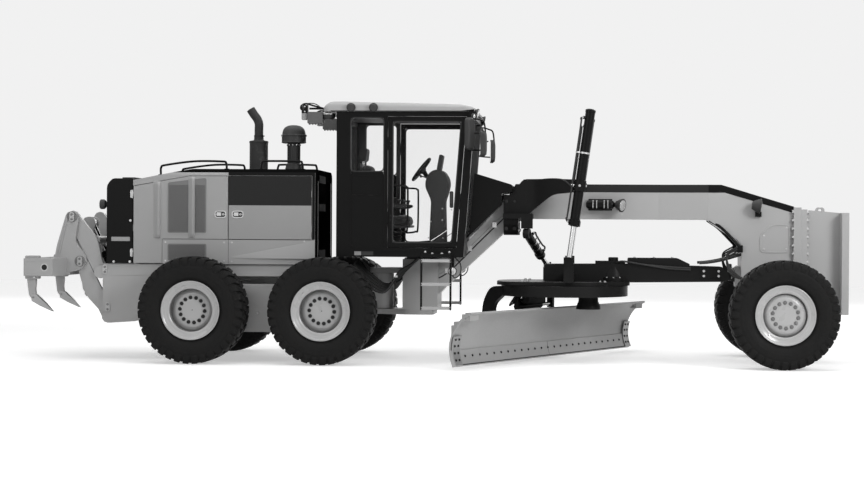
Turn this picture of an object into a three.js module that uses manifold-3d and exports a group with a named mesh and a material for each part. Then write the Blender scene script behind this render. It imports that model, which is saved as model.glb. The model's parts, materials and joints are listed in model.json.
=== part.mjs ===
// A motor grader: tandem drive behind, hinged in the middle, a blade on a turning circle under the
// boom, leaning and steering front wheels, and a ripper at the back.
// Millimetres. X runs forward and is 0 at the front axle, Y runs to the left, Z is 0 on the ground.
import * as THREE from "three";
import { mergeVertices } from "three/addons/utils/BufferGeometryUtils.js";
import Module from "manifold-3d";

const wasm = await Module();
wasm.setup();

// ---------- driving dimensions ----------
const frontEnd = 840; // front face of the push block
const rearEnd = -8950; // back of the ripper beam
const seat = 0.4; // gap between two pieces that bear on each other
const clear = 6; // gap between pieces that move past each other

const wheelbase = 6160; // front axle to the middle of the tandems
const tandemSpacing = 1540; // between the two wheels of a tandem
const halfTrack = 1090;
const tyreRadius = 642;
const tyreHalf = 220; // half the tyre's width
const rimRadius = 357;
const rimSeat = 332; // where the tyre's bead sits
const rimHalf = 195;
const wheelSides = 20;

const pivotX = -4800; // the frame's articulation pivot
const pivotHalf = 165; // radius of the pivot's plates
const hingeBottom = 560;
const hingeTop = 1130;
const hingeThick = 64;

const engineBottom = 1010;
const hoodRear = -7770;
const hoodFront = -5550;
const hoodHalf = 690;
const hoodBottom = 1170;
const hoodTop = 2320;
const hoodRearTop = 2180; // top of the hood where it meets the cooling housing
const hoodSlopeEnd = -7060; // forward of this the hood's top is level
const hoodWall = 24;
const doorSplit = -6606; // between the hood's rear and front doors
const doorSill = 1465; // bottom of the hood doors
const rearDoorStep = -7410; // behind this the rear door reaches down to the hood's bottom
const doorThick = 30;
const coolingRear = -8100;

const cabRear = -5290;
const cabHalf = 720;
const cabFloor = 1270;
const cabFloorThick = 90;
const cabTop = 3010;
const cabFrontLow = -3760; // front of the cab at the floor
const cabFrontHigh = -3630; // front of the cab under the roof
const cabPost = 70;
const cabDoorRear = -4668;
const cabSill = 1385;
const cabDoorTop = 2950;
const cabDoorThick = 40;
const cabHinges = [1740, 2630];
const roofThick = 130;

const boomHalf = 170;
const boomBottom = 1740;
const boomTop = 2165;
const boomRear = -3150;
const boomFront = -665;
const headHalf = 255;
const headRear = -420;
const headFront = 210;
const headBottom = 860;
const blockHalf = 270;
const blockPlateHalf = 450;
const blockBottom = 610;
const blockTop = 1830;

const axlePivotZ = 720;
const leanPivot = 640; // sideways from the centre line
const leanRise = 5.9; // lean pivots above the hubs
const kingpin = 760;
const leanBarDrop = 220; // lean bar's pins below the lean pivots

const ballX = -480;
const ballZ = 1050;
const ballRadius = 65;
const circleX = -2560;
const circleOuter = 780;
const circleInner = 610;
const circleBottom = 800;
const circleTop = 930;
const bladeAngle = 29; // degrees, right end rearward
const bladeLength = 4270;
const bladeOffset = -60; // middle of the blade along itself from the circle's centre
const edgeX = -175; // cutting edge behind the circle's centre
const edgeZ = 50;
const bladeRise = [235, 600]; // from the cutting edge to the top of the blade: forward, up
const bladeRadius = 430;
const bladeThick = 24;
const armSpread = 500; // blade arms either side of the middle
const armThick = 90;
const tipPivot = [-330, 205]; // where the blade bracket hinges on the arms: forward, up
const railDrop = 110; // lower blade rail above the cutting edge
const shiftBarrel = 1500;

const liftSpread = 800; // lift cylinders from the centre line
const liftTop = [-2375, 2130]; // trunnions: forward, up
const liftEye = [-2500, 1230]; // rod eyes at rest
const liftBarrelDown = 480;
const liftBarrelUp = 905;
const liftRodRadius = 32;
const saddleX = [-3300, -3120];
const saddleTop = 2030;
const shiftPivot = [-3010, -420, 1560]; // centre-shift cylinder's barrel eye on the saddle
const shiftEye = [-2780, 330, 1160]; // and its rod eye on the drawbar
const shiftEyeRadius = 60;
const shiftRodRadius = 30;
const shiftBall = 48;

const ripLowPin = [-8090, 520]; // the ripper's lower links on the frame: forward, up
const ripRise = [100, -540]; // from an upper pin to the lower pin beside it
const ripLink = [-345, 670]; // from a frame pin to the pin at the link's other end
const ripPlates = [602, 640]; // lanes of the frame's and the beam's side plates
const ripLinks = [546, 594]; // lanes of the link plates
const ripBeamHalf = 1190;
const ripCylFoot = [-7985, 640];
const ripCylTop = [-8480, 1670];
const shankSpread = 1090;

// ---------- places worked out from them ----------
const middleX = (frontEnd + rearEnd) / 2;
const hubHeight = tyreRadius * Math.cos(Math.PI / wheelSides);
const leanPivotZ = hubHeight + leanRise;
const tandemX = [-wheelbase - tandemSpacing / 2, -wheelbase + tandemSpacing / 2];
const ripUpPin = [ripLowPin[0] - ripRise[0], ripLowPin[1] - ripRise[1]];
const beamLowPin = [ripLowPin[0] + ripLink[0], ripLowPin[1] + ripLink[1]];
const beamUpPin = [ripUpPin[0] + ripLink[0], ripUpPin[1] + ripLink[1]];

// ---------- materials ----------
const finish = (color, roughness, metalness) =>
  new THREE.MeshStandardMaterial({ color, roughness, metalness });
const paint = finish(0xb4b4b4, 0.45, 0);
const blackPaint = finish(0x1c1c1d, 0.4, 0);
const tyreRubber = finish(0x19191a, 0.85, 0);
const castIron = finish(0x3a3a3c, 0.6, 0.4);
const chrome = finish(0xd9dadc, 0.12, 1);
const wearSteel = finish(0x9a9a9a, 0.5, 0.6);
const trim = finish(0x262627, 0.7, 0);
const seatCloth = finish(0x2b2b2d, 0.9, 0);
const glass = new THREE.MeshStandardMaterial({
  color: 0xdfe6e6,
  roughness: 0.05,
  transparent: true,
  opacity: 0.3,
});

// ---------- making solids ----------
function solid(geometry) {
  const bare = geometry.index ? geometry.toNonIndexed() : geometry;
  bare.deleteAttribute("normal");
  bare.deleteAttribute("uv");
  const merged = mergeVertices(bare, 1e-3);
  const all = merged.index.array;
  const triVerts = [];
  for (let i = 0; i < all.length; i += 3) {
    const [a, b, c] = [all[i], all[i + 1], all[i + 2]];
    if (a !== b && b !== c && c !== a) triVerts.push(a, b, c);
  }
  const vertProperties = merged.attributes.position.array;
  return new wasm.Manifold(
    new wasm.Mesh({ numProp: 3, vertProperties, triVerts: new Uint32Array(triVerts) }),
  );
}

const join = (first, ...others) => others.reduce((sum, piece) => sum.add(piece), first);
const cut = (first, ...others) => others.reduce((rest, piece) => rest.subtract(piece), first);
const range = (side, low, high) => (side > 0 ? [low, high] : [-high, -low]);
const both = (make) => [make(-1), make(1)]; // right, then left

function box([x0, x1], [y0, y1], [z0, z1]) {
  const geometry = new THREE.BoxGeometry(x1 - x0, y1 - y0, z1 - z0);
  return solid(geometry.translate((x0 + x1) / 2, (y0 + y1) / 2, (z0 + z1) / 2));
}

function rod(from, to, radius, sides = 10, endRadius = radius) {
  const start = new THREE.Vector3(...from);
  const along = new THREE.Vector3(...to).sub(start);
  const geometry = new THREE.CylinderGeometry(endRadius, radius, along.length(), sides);
  geometry.translate(0, along.length() / 2, 0);
  const turn = new THREE.Quaternion();
  turn.setFromUnitVectors(new THREE.Vector3(0, 1, 0), along.clone().normalize());
  return solid(geometry.applyQuaternion(turn).translate(...from));
}

// A flat outline; a point's third number rounds its corner, cutting back that far along each side,
// or as far as the sides allow.
function outline(points) {
  const shape = new THREE.Shape();
  const at = (i) => new THREE.Vector2(...points[(i + points.length) % points.length]);
  points.forEach(([x, y, round = 0], i) => {
    const corner = at(i);
    const cutBack = (side) => side.setLength(Math.min(round, 0.45 * side.length())).add(corner);
    const before = cutBack(at(i - 1).sub(corner));
    const after = cutBack(at(i + 1).sub(corner));
    if (i) shape.lineTo(before.x, before.y);
    else shape.moveTo(before.x, before.y);
    if (round) shape.quadraticCurveTo(x, y, after.x, after.y);
  });
  return shape;
}

const axisX = new THREE.Vector3(1, 0, 0);
const axisY = new THREE.Vector3(0, 1, 0);
const axisZ = new THREE.Vector3(0, 0, 1);
const acrossY = new THREE.Matrix4().makeBasis(axisX, axisZ, axisY.clone().negate());
const acrossX = new THREE.Matrix4().makeBasis(axisY, axisZ, axisX);

function extrude(points, depth, curveSegments) {
  return new THREE.ExtrudeGeometry(outline(points), { depth, curveSegments, bevelEnabled: false });
}
// Side view outlines (x, z) given a width in Y, plan outlines (x, y) a height, end views (y, z) a length.
const sidePlate = (points, [y0, y1], curve = 2) =>
  solid(extrude(points, y1 - y0, curve).applyMatrix4(acrossY).translate(0, y1, 0));
const flatPlate = (points, [z0, z1], curve = 2) =>
  solid(extrude(points, z1 - z0, curve).translate(0, 0, z0));
const endPlate = (points, [x0, x1], curve = 2) =>
  solid(extrude(points, x1 - x0, curve).applyMatrix4(acrossX).translate(x0, 0, 0));

function pipe(points, radius, steps, sides = 8) {
  const curve = new THREE.CatmullRomCurve3(points.map((p) => new THREE.Vector3(...p)));
  const ring = new THREE.Shape();
  ring.absarc(0, 0, radius, 0, 2 * Math.PI);
  const options = { steps, extrudePath: curve, curveSegments: sides / 2 };
  return solid(new THREE.ExtrudeGeometry(ring, options));
}

function turned(profile, sides, phase = 0) {
  const points = profile.map(([r, y]) => new THREE.Vector2(r, y));
  return solid(new THREE.LatheGeometry(points, sides, phase));
}

function bar(from, to, half, [y0, y1]) {
  // A link seen from the side: straight edges, round ends.
  const [dx, dz] = [to[0] - from[0], to[1] - from[1]];
  const length = Math.hypot(dx, dz);
  const [nx, nz] = [(-dz / length) * half, (dx / length) * half];
  const edges = [
    [from[0] + nx, from[1] + nz],
    [from[0] - nx, from[1] - nz],
    [to[0] - nx, to[1] - nz],
    [to[0] + nx, to[1] + nz],
  ];
  const ends = [from, to].map(([x, z]) => rod([x, y0, z], [x, y1, z], half));
  return join(sidePlate(edges, [y0, y1]), ...ends);
}

const grader = new THREE.Group();
grader.position.x = -middleX;

function add(name, shape, material, parent = grader) {
  const { vertProperties, triVerts } = shape.getMesh();
  const geometry = new THREE.BufferGeometry();
  geometry.setAttribute("position", new THREE.BufferAttribute(vertProperties, 3));
  geometry.setIndex(new THREE.BufferAttribute(triVerts, 1));
  const node = new THREE.Mesh(geometry, material);
  node.name = name;
  parent.add(node);
  return node;
}

function place(x, y, z) {
  const group = new THREE.Group();
  group.position.set(x, y, z);
  grader.add(group);
  return group;
}

const sideName = (side) => (side < 0 ? "right" : "left");

// ---------- wheels ----------
const discOut = { rear: 60, front: 130 }; // outboard face of the disc from the tyre's middle
const hubBack = 40; // inboard face of the disc from its outboard face

function tyre() {
  const section = [
    [rimSeat + seat, -rimHalf + 26],
    [rimRadius + 12, -rimHalf + 22],
    [430, -tyreHalf + 8],
    [520, -tyreHalf],
    [tyreRadius - 38, -tyreHalf + 20],
    [tyreRadius, -tyreHalf + 68],
  ];
  const mirrored = section.map(([r, y]) => [r, -y]).reverse();
  return turned([...section, ...mirrored, section[0]], wheelSides, Math.PI / wheelSides);
}

// The outboard side is +Y before the wheel is turned to its own side.
function rim(kind) {
  const disc = discOut[kind];
  return turned(
    [
      [0, disc - hubBack],
      [rimSeat - 40, disc - hubBack],
      [rimSeat - 24, -rimHalf + 6],
      [rimRadius, -rimHalf],
      [rimRadius, -rimHalf + 18],
      [rimSeat, -rimHalf + 24],
      [rimSeat, rimHalf - 24],
      [rimRadius, rimHalf - 18],
      [rimRadius, rimHalf],
      [rimSeat - 24, rimHalf - 6],
      [rimSeat - 62, disc],
      [0, disc + 20],
    ],
    wheelSides,
    Math.PI / wheelSides,
  );
}

function wheel(x, side, name, kind) {
  const group = place(x, side * halfTrack, hubHeight);
  if (side < 0) group.rotation.z = Math.PI;
  add(`rim_${name}_${sideName(side)}`, rim(kind), paint, group);
  add(`tyre_${name}_${sideName(side)}`, tyre(), tyreRubber, group);
}

for (const side of [-1, 1]) {
  wheel(tandemX[0], side, "rear", "rear");
  wheel(tandemX[1], side, "middle", "rear");
  wheel(0, side, "front", "front");
}

// ---------- rear unit ----------
const railHalf = 390;
const tandemInner = 600;
const tandemOuter = 800;
const wheelSeat = halfTrack + discOut.rear - hubBack; // inboard face of a rear wheel's disc

function rearFrame() {
  const tail = [
    [coolingRear, 1020, 20],
    [coolingRear, hoodBottom - seat],
    [hoodRear + 60, hoodBottom - seat],
    [hoodRear + 60, 1020],
  ];
  const cylGap = box([coolingRear - 10, coolingRear + 90], [-110, 110], [1000, hoodBottom - 20]);
  const side = (s) => {
    const plate = range(s, ripPlates[0], ripPlates[1]);
    const lower = [
      [coolingRear + 60, 1030],
      [-7350, 1030],
      [-7350, 700, 60],
      [-7700, 470, 60],
      [ripLowPin[0] + 20, ripLowPin[1] - 75],
      [ripLowPin[0] + 20, ripLowPin[1] + 75],
      [coolingRear + 60, 760],
    ];
    return join(
      sidePlate(lower, plate),
      bar(ripLowPin, [ripLowPin[0] + 120, ripLowPin[1] + 20], 75, plate),
      bar(ripUpPin, [coolingRear + 20, 1090], 75, plate),
      pinBoss(s, ripLowPin, 55),
      pinBoss(s, ripUpPin, 55),
      box([-8050, -5300], range(s, railHalf - 110, railHalf), [920, hoodBottom - seat]),
    );
  };
  const neck = [
    [-5500, -railHalf],
    [-5500, railHalf],
    [-5050, 120],
    [pivotX, 120],
    [pivotX, -120],
    [-5050, -120],
  ];
  const cylFoot = both((s) =>
    bar([-7800, 760], ripCylFoot, 70, range(s, 62 + clear, 100)),
  );
  return join(
    cut(sidePlate(tail, [-ripPlates[1], ripPlates[1]]), cylGap),
    ...both(side),
    box([-7860, -7700], [-ripPlates[1], ripPlates[1]], [640, 1100]),
    box([-5560, -5300], [-railHalf, railHalf], [720, hoodBottom - seat]),
    flatPlate(neck, [720, 1000]),
    rod([pivotX, 0, hingeBottom + 70], [pivotX, 0, hingeTop - 70], 130, 20),
    rod([pivotX, 0, hingeBottom + hingeThick + seat], [pivotX, 0, hingeTop - hingeThick - seat], 85, 20),
    rod([-wheelbase, -tandemInner + seat, 700], [-wheelbase, tandemInner - seat, 700], 210, 20),
    box([-wheelbase - 180, -wheelbase + 180], [-railHalf, railHalf], [700, engineBottom - seat]),
    ...cylFoot,
  );
}

// The pin between a side plate and the link plate inside it ends a seat's width from the link.
function pinBoss(side, [x, z], radius) {
  const near = range(side, ripLinks[1] + seat, ripPlates[0] + 2);
  return rod([x, near[0], z], [x, near[1], z], radius);
}

function tandemCase(side) {
  const [low, high] = [360, 930];
  const shape = [
    [tandemX[0] - 240, low + 90, 60],
    [tandemX[0] - 240, high - 110, 60],
    [tandemX[0] + 300, high, 90],
    [tandemX[1] - 300, high, 90],
    [tandemX[1] + 240, high - 110, 60],
    [tandemX[1] + 240, low + 90, 60],
    [tandemX[1] - 100, low, 60],
    [tandemX[0] + 100, low, 60],
  ];
  const hub = (x) =>
    rod([x, side * (tandemOuter - 5), hubHeight], [x, side * (wheelSeat - seat), hubHeight], 150, 18);
  return join(
    sidePlate(shape, range(side, tandemInner, tandemOuter)),
    hub(tandemX[0]),
    hub(tandemX[1]),
  );
}

function coolingHousing() {
  const top = [
    [coolingRear, hoodBottom],
    [coolingRear, hoodRearTop - 60, 40],
    [coolingRear + 70, hoodRearTop + 20, 30],
    [hoodRear - clear, hoodRearTop + 20],
    [hoodRear - clear, hoodBottom],
  ];
  const half = hoodHalf - 15;
  const grille = box([coolingRear - 10, coolingRear + 40], [-540, 540], [hoodBottom + 130, 2020]);
  return cut(sidePlate(top, [-half, half]), grille);
}

const doorGap = 5; // around a door
const hoodDoorTop = 2235;
const doorFrame = 40; // hood in front of the front door
const hoodHinges = [1600, 2020];
const leafHalf = 40; // half the height of a hinge leaf
const rearDoor = (inset) => [
  [hoodRear + inset, hoodBottom + inset],
  [rearDoorStep - inset, hoodBottom + inset],
  [rearDoorStep - inset, doorSill + inset],
  [doorSplit - inset, doorSill + inset],
  [doorSplit - inset, hoodDoorTop - inset],
  [hoodSlopeEnd - 20, hoodDoorTop - inset],
  [hoodRear + inset, hoodRearTop - 70 - inset],
];
const frontDoor = (inset) => [
  [doorSplit + inset, doorSill + inset],
  [hoodFront - doorFrame - inset, doorSill + inset],
  [hoodFront - doorFrame - inset, hoodDoorTop - inset],
  [doorSplit + inset, hoodDoorTop - inset],
];

function hood() {
  const section = (inset) => [
    [-hoodHalf + inset, hoodBottom - (inset ? 10 : 0)],
    [-hoodHalf + inset, hoodTop - 40 - inset / 2, inset ? 0 : 40],
    [-hoodHalf + 90, hoodTop - inset],
    [hoodHalf - 90, hoodTop - inset],
    [hoodHalf - inset, hoodTop - 40 - inset / 2, inset ? 0 : 40],
    [hoodHalf - inset, hoodBottom - (inset ? 10 : 0)],
  ];
  const outer = endPlate(section(0), [hoodRear, hoodFront]);
  const inner = endPlate(section(hoodWall), [hoodRear + hoodWall, hoodFront - hoodWall]);
  const slope = sidePlate(
    [
      [hoodRear - 10, hoodRearTop],
      [hoodRear, hoodRearTop],
      [hoodSlopeEnd, hoodTop],
      [hoodSlopeEnd, hoodTop + 50],
      [hoodRear - 10, hoodTop + 50],
    ],
    [-hoodHalf - 10, hoodHalf + 10],
  );
  const slopeInner = sidePlate(
    [
      [hoodRear - 20, hoodRearTop - hoodWall],
      [hoodRear, hoodRearTop - hoodWall],
      [hoodSlopeEnd, hoodTop - hoodWall],
      [hoodSlopeEnd, hoodTop + 50],
      [hoodRear - 20, hoodTop + 50],
    ],
    [-hoodHalf - 10, hoodHalf + 10],
  );
  const openings = both((s) => {
    const through = range(s, hoodHalf - doorThick - clear, hoodHalf + 20);
    return join(sidePlate(rearDoor(0), through), sidePlate(frontDoor(0), through));
  });
  const leaves = both((s) => {
    const rearLeaf = [hoodRear, hoodRear + doorGap - seat];
    const frontLeaf = [hoodFront - doorFrame - doorGap + seat, hoodFront - doorFrame + 2];
    return join(
      ...hoodHinges.map((z) =>
        box(rearLeaf, range(s, hoodHalf - 60, hoodHalf), [z - leafHalf, z + leafHalf]),
      ),
      ...hoodHinges.map((z) =>
        box(frontLeaf, range(s, hoodHalf - hoodWall, hoodHalf), [z - leafHalf, z + leafHalf]),
      ),
    );
  });
  const ribX = [doorSplit - 30, doorSplit + 30];
  const ribs = both((s) =>
    join(
      box(ribX, range(s, hoodHalf - 90, hoodHalf - doorThick - clear), [hoodBottom + 60, hoodTop - 28]),
      box(ribX, range(s, hoodHalf - 90, hoodHalf - 10), [hoodBottom + 60, doorSill - 20]),
    ),
  );
  return join(cut(cut(outer, slope), cut(inner, slopeInner), ...openings), ...ribs, ...leaves);
}

function hoodDoor(side, shape) {
  return sidePlate(shape(doorGap), range(side, hoodHalf - doorThick, hoodHalf));
}

const stackX = -6370;
const stackTop = 3090;

function exhaust() {
  return join(
    rod([stackX, 0, hoodTop + seat], [stackX, 0, 2690], 118, 18),
    rod([stackX, 0, 2680], [stackX, 0, 2740], 100, 16, 56),
    pipe(
      [
        [stackX, 0, 2720],
        [stackX, 0, 2900],
        [stackX - 35, 0, 3010],
        [stackX - 105, 0, stackTop],
      ],
      54,
      6,
      12,
    ),
  );
}

function precleaner() {
  const x = -5890;
  const stages = [
    [hoodTop + seat, 105],
    [hoodTop + 80, 105],
    [hoodTop + 80, 78],
    [2650, 78],
    [2650, 130],
    [2740, 150],
    [2800, 140],
    [2865, 60],
  ];
  const profile = [[0, stages[0][0]], ...stages.map(([z, r]) => [r, z]), [0, 2875]];
  return turned(profile, 18).rotate([90, 0, 0]).translate([x, -230, 0]);
}

add("rear_frame", rearFrame(), paint);
add("engine", box([-7500, -5900], [-railHalf + 116, railHalf - 116], [engineBottom, 1960]), castIron);
add("cooling_housing", coolingHousing(), blackPaint);
add("hood", hood(), paint);
add("exhaust_stack", exhaust(), blackPaint);
add("air_precleaner", precleaner(), blackPaint);
for (const side of [-1, 1]) {
  add(`tandem_case_${sideName(side)}`, tandemCase(side), paint);
  add(`hood_rear_door_${sideName(side)}`, hoodDoor(side, rearDoor), paint);
  add(`hood_front_door_${sideName(side)}`, hoodDoor(side, frontDoor), paint);
}

// ---------- ripper ----------
function linkPair(from, to, bulge, half) {
  const mid = [(from[0] + to[0]) / 2 + bulge[0], (from[1] + to[1]) / 2 + bulge[1]];
  const plates = both((s) => {
    const lane = range(s, ripLinks[0], ripLinks[1]);
    const wing = [
      [from[0], from[1]],
      [from[0] + bulge[0] * 0.35, from[1] + bulge[1] * 0.35, 60],
      [mid[0] + bulge[0] * 0.3, mid[1] + bulge[1] * 0.3, 80],
      [to[0] + bulge[0] * 0.6, to[1] + bulge[1] * 0.6, 60],
      [to[0], to[1]],
    ];
    return join(bar(from, to, half, lane), sidePlate(wing, lane));
  });
  const tube = rod([mid[0], -ripLinks[0] - 5, mid[1]], [mid[0], ripLinks[0] + 5, mid[1]], 48);
  return join(tube, ...plates);
}

function ripperBeam() {
  const [rearX, frontX, low, high] = [rearEnd, -8600, 1020, 1230];
  const cheek = [
    [frontX - 120, low + 10],
    [beamLowPin[0] - 10, low + 60, 60],
    [beamLowPin[0] + 72, beamLowPin[1] - 40, 50],
    [beamLowPin[0] + 72, beamLowPin[1] + 70, 50],
    [beamUpPin[0] + 30, beamUpPin[1] - 300, 60],
    [beamUpPin[0] + 72, beamUpPin[1] - 60, 30],
    [beamUpPin[0] + 60, beamUpPin[1] + 66, 50],
    [beamUpPin[0] - 66, beamUpPin[1] + 66, 50],
    [frontX - 130, high + 130, 60],
    [frontX - 150, high - 10],
  ];
  const middle = [
    [frontX - 120, high - 10],
    [frontX + 60, high - 10],
    [ripCylTop[0] + 70, ripCylTop[1] - 40, 40],
    [ripCylTop[0] + 60, ripCylTop[1] + 66, 50],
    [ripCylTop[0] - 66, ripCylTop[1] + 66, 50],
    [frontX - 130, high + 130, 60],
  ];
  const shank = [
    [rearX + 20, low + 20],
    [rearX + 20, 730, 60],
    [rearX + 110, 660, 60],
    [-8610, 590],
    [-8770, 790, 60],
    [rearX + 140, low + 20],
  ];
  const shanks = [-shankSpread, 0, shankSpread].map((y) => sidePlate(shank, [y - 38, y + 38]));
  const cheeks = both((s) =>
    join(
      sidePlate(cheek, range(s, ripPlates[0], ripPlates[1])),
      pinBoss(s, beamUpPin, 55),
      pinBoss(s, beamLowPin, 55),
      sidePlate(middle, range(s, 62 + clear, 100)),
    ),
  );
  return join(
    box([rearX, frontX], [-ripBeamHalf, ripBeamHalf], [low, high]),
    box([frontX - 60, frontX + 40], [-ripPlates[1], ripPlates[1]], [low + 10, high]),
    rod([beamUpPin[0] - 90, -ripPlates[1], 1480], [beamUpPin[0] - 90, ripPlates[1], 1480], 40),
    ...cheeks,
    ...shanks,
  );
}

// A cylinder is drawn along +X: a barrel with an open bore, and a rod with its eye.
function barrelShape({ radius, bore, back, front }) {
  const body = rod([back, 0, 0], [front, 0, 0], radius, 14);
  return cut(body, rod([back + 60, 0, 0], [front + 10, 0, 0], bore, 12));
}

function rodShape({ radius, from, to, eye }) {
  return join(
    rod([from, 0, 0], [to - eye[0] + 8, 0, 0], radius, 12),
    rod([to, -eye[1], 0], [to, eye[1], 0], eye[0], 12),
  );
}

// Turns +X to run from one point to another, with Y kept as level as it can be.
function aim(from, to) {
  const group = place(...from);
  const along = new THREE.Vector3(...to).sub(new THREE.Vector3(...from)).normalize();
  const across = new THREE.Vector3().crossVectors(axisZ, along).normalize();
  const up = new THREE.Vector3().crossVectors(along, across);
  group.quaternion.setFromRotationMatrix(new THREE.Matrix4().makeBasis(along, across, up));
  return group;
}

const distance = (a, b) => Math.hypot(...a.map((v, i) => v - b[i]));

add("ripper_upper_link", linkPair(ripUpPin, beamUpPin, [100, 55], 76), paint);
add("ripper_lower_link", linkPair(ripLowPin, beamLowPin, [-95, -50], 76), paint);
add("ripper_beam", ripperBeam(), paint);

const ripCylLength = distance(ripCylFoot, ripCylTop);
const ripCyl = aim([ripCylFoot[0], 0, ripCylFoot[1]], [ripCylTop[0], 0, ripCylTop[1]]);
const ripRadius = 62;
const ripRodRadius = 36;
add(
  "ripper_cylinder_barrel",
  join(
    barrelShape({ radius: ripRadius, bore: ripRodRadius + seat, back: 30, front: 740 }),
    rod([0, -62 - clear + seat, 0], [0, 62 + clear - seat, 0], ripRadius, 12),
  ),
  blackPaint,
  ripCyl,
);
add(
  "ripper_cylinder_rod",
  rodShape({ radius: ripRodRadius, from: 460, to: ripCylLength, eye: [55, 62 + clear - seat] }),
  chrome,
  ripCyl,
);

// ---------- front frame ----------
const ballPlay = 0.7; // all round the drawbar's ball, so that its flats still turn

function drawbarBall(grow) {
  const profile = [
    [0, -ballRadius - grow],
    [ballRadius * 0.6, -ballRadius * 0.8 - grow],
    [ballRadius + grow, -ballRadius * 0.35],
    [ballRadius + grow, ballRadius * 0.35],
    [ballRadius * 0.6, ballRadius * 0.8 + grow],
    [0, ballRadius + grow],
  ];
  return turned(profile, 24).translate([ballX, 0, ballZ]);
}

function frontFrame() {
  const neck = [
    [-4520, 640, 60],
    [-4250, 560, 120],
    [-4110, 810, 120],
    [boomRear - 50, 1660, 60],
    [boomRear + 100, boomBottom, 60],
    [boomFront - 100, boomBottom],
    [boomFront - 100, boomTop],
    [boomRear - 10, boomTop],
    [boomRear - 60, boomTop - 100, 40],
    [-3920, 1255, 60],
    [-4520, 1255],
  ];
  const head = [
    [-820, boomBottom, 40],
    [headRear, 1465, 60],
    [headRear, headBottom],
    [headFront, headBottom],
    [headFront, 1905],
    [boomFront, boomTop, 10],
    [boomFront - 160, boomTop],
    [boomFront - 160, boomBottom],
  ];
  const hitch = (low) =>
    join(
      rod([pivotX, 0, low], [pivotX, 0, low + hingeThick], pivotHalf, 20),
      flatPlate(
        [
          [pivotX, -pivotHalf + 1],
          [pivotX, pivotHalf - 1],
          [-4460, 300, 40],
          [-4150, 300, 60],
          [-4150, -300, 60],
          [-4460, -300, 40],
        ],
        [low, low + hingeThick],
      ),
    );
  const socket = rod([headRear - 60, 0, ballZ], [headRear + 10, 0, ballZ], 125, 16);
  const ball = drawbarBall(ballPlay);
  const mouth = rod([ballX - 200, 0, ballZ], [ballX + 10, 0, ballZ], 140, 16, 40);
  const axleEars = [
    [headRear + 90, headRear + 190],
    [headFront - 100, headFront],
  ].map((x) =>
    endPlate(
      [
        [-headHalf, headBottom + 20],
        [-130, axlePivotZ - 130, 60],
        [130, axlePivotZ - 130, 60],
        [headHalf, headBottom + 20],
      ],
      x,
    ),
  );
  const flange = box([headFront - 10, 290], [-headHalf - 60, headHalf + 60], [1180, 1895]);
  const body = join(
    sidePlate(neck, [-boomHalf, boomHalf]),
    sidePlate(head, [-headHalf, headHalf]),
    box([-4530, -4100], [-300, 300], [620, 1240]),
    hitch(hingeBottom),
    hitch(hingeTop - hingeThick),
    socket,
    flange,
    ...axleEars,
  );
  return cut(body, ball, mouth);
}

function pushBlock() {
  const side = [
    [290 + seat, blockBottom + 380],
    [290 + seat, 1870],
    [760, blockTop],
    [760, blockBottom],
    [420, blockBottom],
  ];
  return join(
    sidePlate(side, [-blockHalf, blockHalf]),
    box([290 + seat, 360], [-headHalf - 60, headHalf + 60], [1180, 1870]),
    box([755, frontEnd], [-blockPlateHalf, blockPlateHalf], [blockBottom, blockTop]),
  );
}

add("front_frame", frontFrame(), paint);
add("push_block", pushBlock(), paint);

// ---------- cab ----------
const cabWallTop = cabFloor + cabFloorThick;
const cabLean = (z, inset = 0) => {
  const share = (z - cabFloor) / (cabTop - cabFloor);
  return cabFrontLow + (cabFrontHigh - cabFrontLow) * share - inset;
};
const cabRing = (inset) => [
  [cabRear + inset, cabFloor + inset],
  [cabLean(cabFloor, inset), cabFloor + inset],
  [cabLean(cabTop, inset), cabTop - inset],
  [cabRear + inset, cabTop - inset],
];
const doorWindow = 60; // width of the cab door's frame
const doorEdge = (inset) => [
  [cabDoorRear + inset, cabSill + inset],
  [cabLean(cabSill, 95 + inset), cabSill + inset],
  [cabLean(cabDoorTop, 95 + inset), cabDoorTop - inset],
  [cabDoorRear + inset, cabDoorTop - inset],
];
const sideWindow = (inset) => [
  [cabRear + 175 + inset, 2010 + inset],
  [cabDoorRear - 55 - inset, 2010 + inset],
  [cabDoorRear - 55 - inset, 2930 - inset],
  [cabRear + 175 + inset, 2930 - inset],
];
const endWindow = (half, low, high, inset) => [
  [-half + inset, low + inset],
  [half - inset, low + inset],
  [half - inset, high - inset],
  [-half + inset, high - inset],
];
const screen = (inset) => endWindow(630, 1560, 2930, inset);
const backLight = (inset) => endWindow(560, 2010, 2900, inset);

// The windscreen leans with the front of the cab, so it is cut from a sheared slab.
function screenSlab(inset, back, front) {
  const side = [
    [cabLean(cabFloor, back), cabFloor],
    [cabLean(cabFloor, front), cabFloor],
    [cabLean(cabTop, front), cabTop],
    [cabLean(cabTop, back), cabTop],
  ];
  const slab = sidePlate(side, [-cabHalf, cabHalf]);
  return slab.intersect(endPlate(screen(inset), [cabFrontLow - 300, cabFrontHigh + 300]));
}

function ladder(side) {
  const lane = range(side, 800, 845);
  const rails = [-4262, -3912].map((x) => box([x, x + 24], lane, [640, cabFloor + 20]));
  const treads = [650, 935, 1215].map((z) => box([-4250, -3900], range(side, 770, 850), [z, z + 28]));
  const bracket = box([-4262, -3888], range(side, cabHalf - 30, 845), [cabFloor, cabFloor + 40]);
  return join(bracket, ...rails, ...treads);
}

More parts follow.
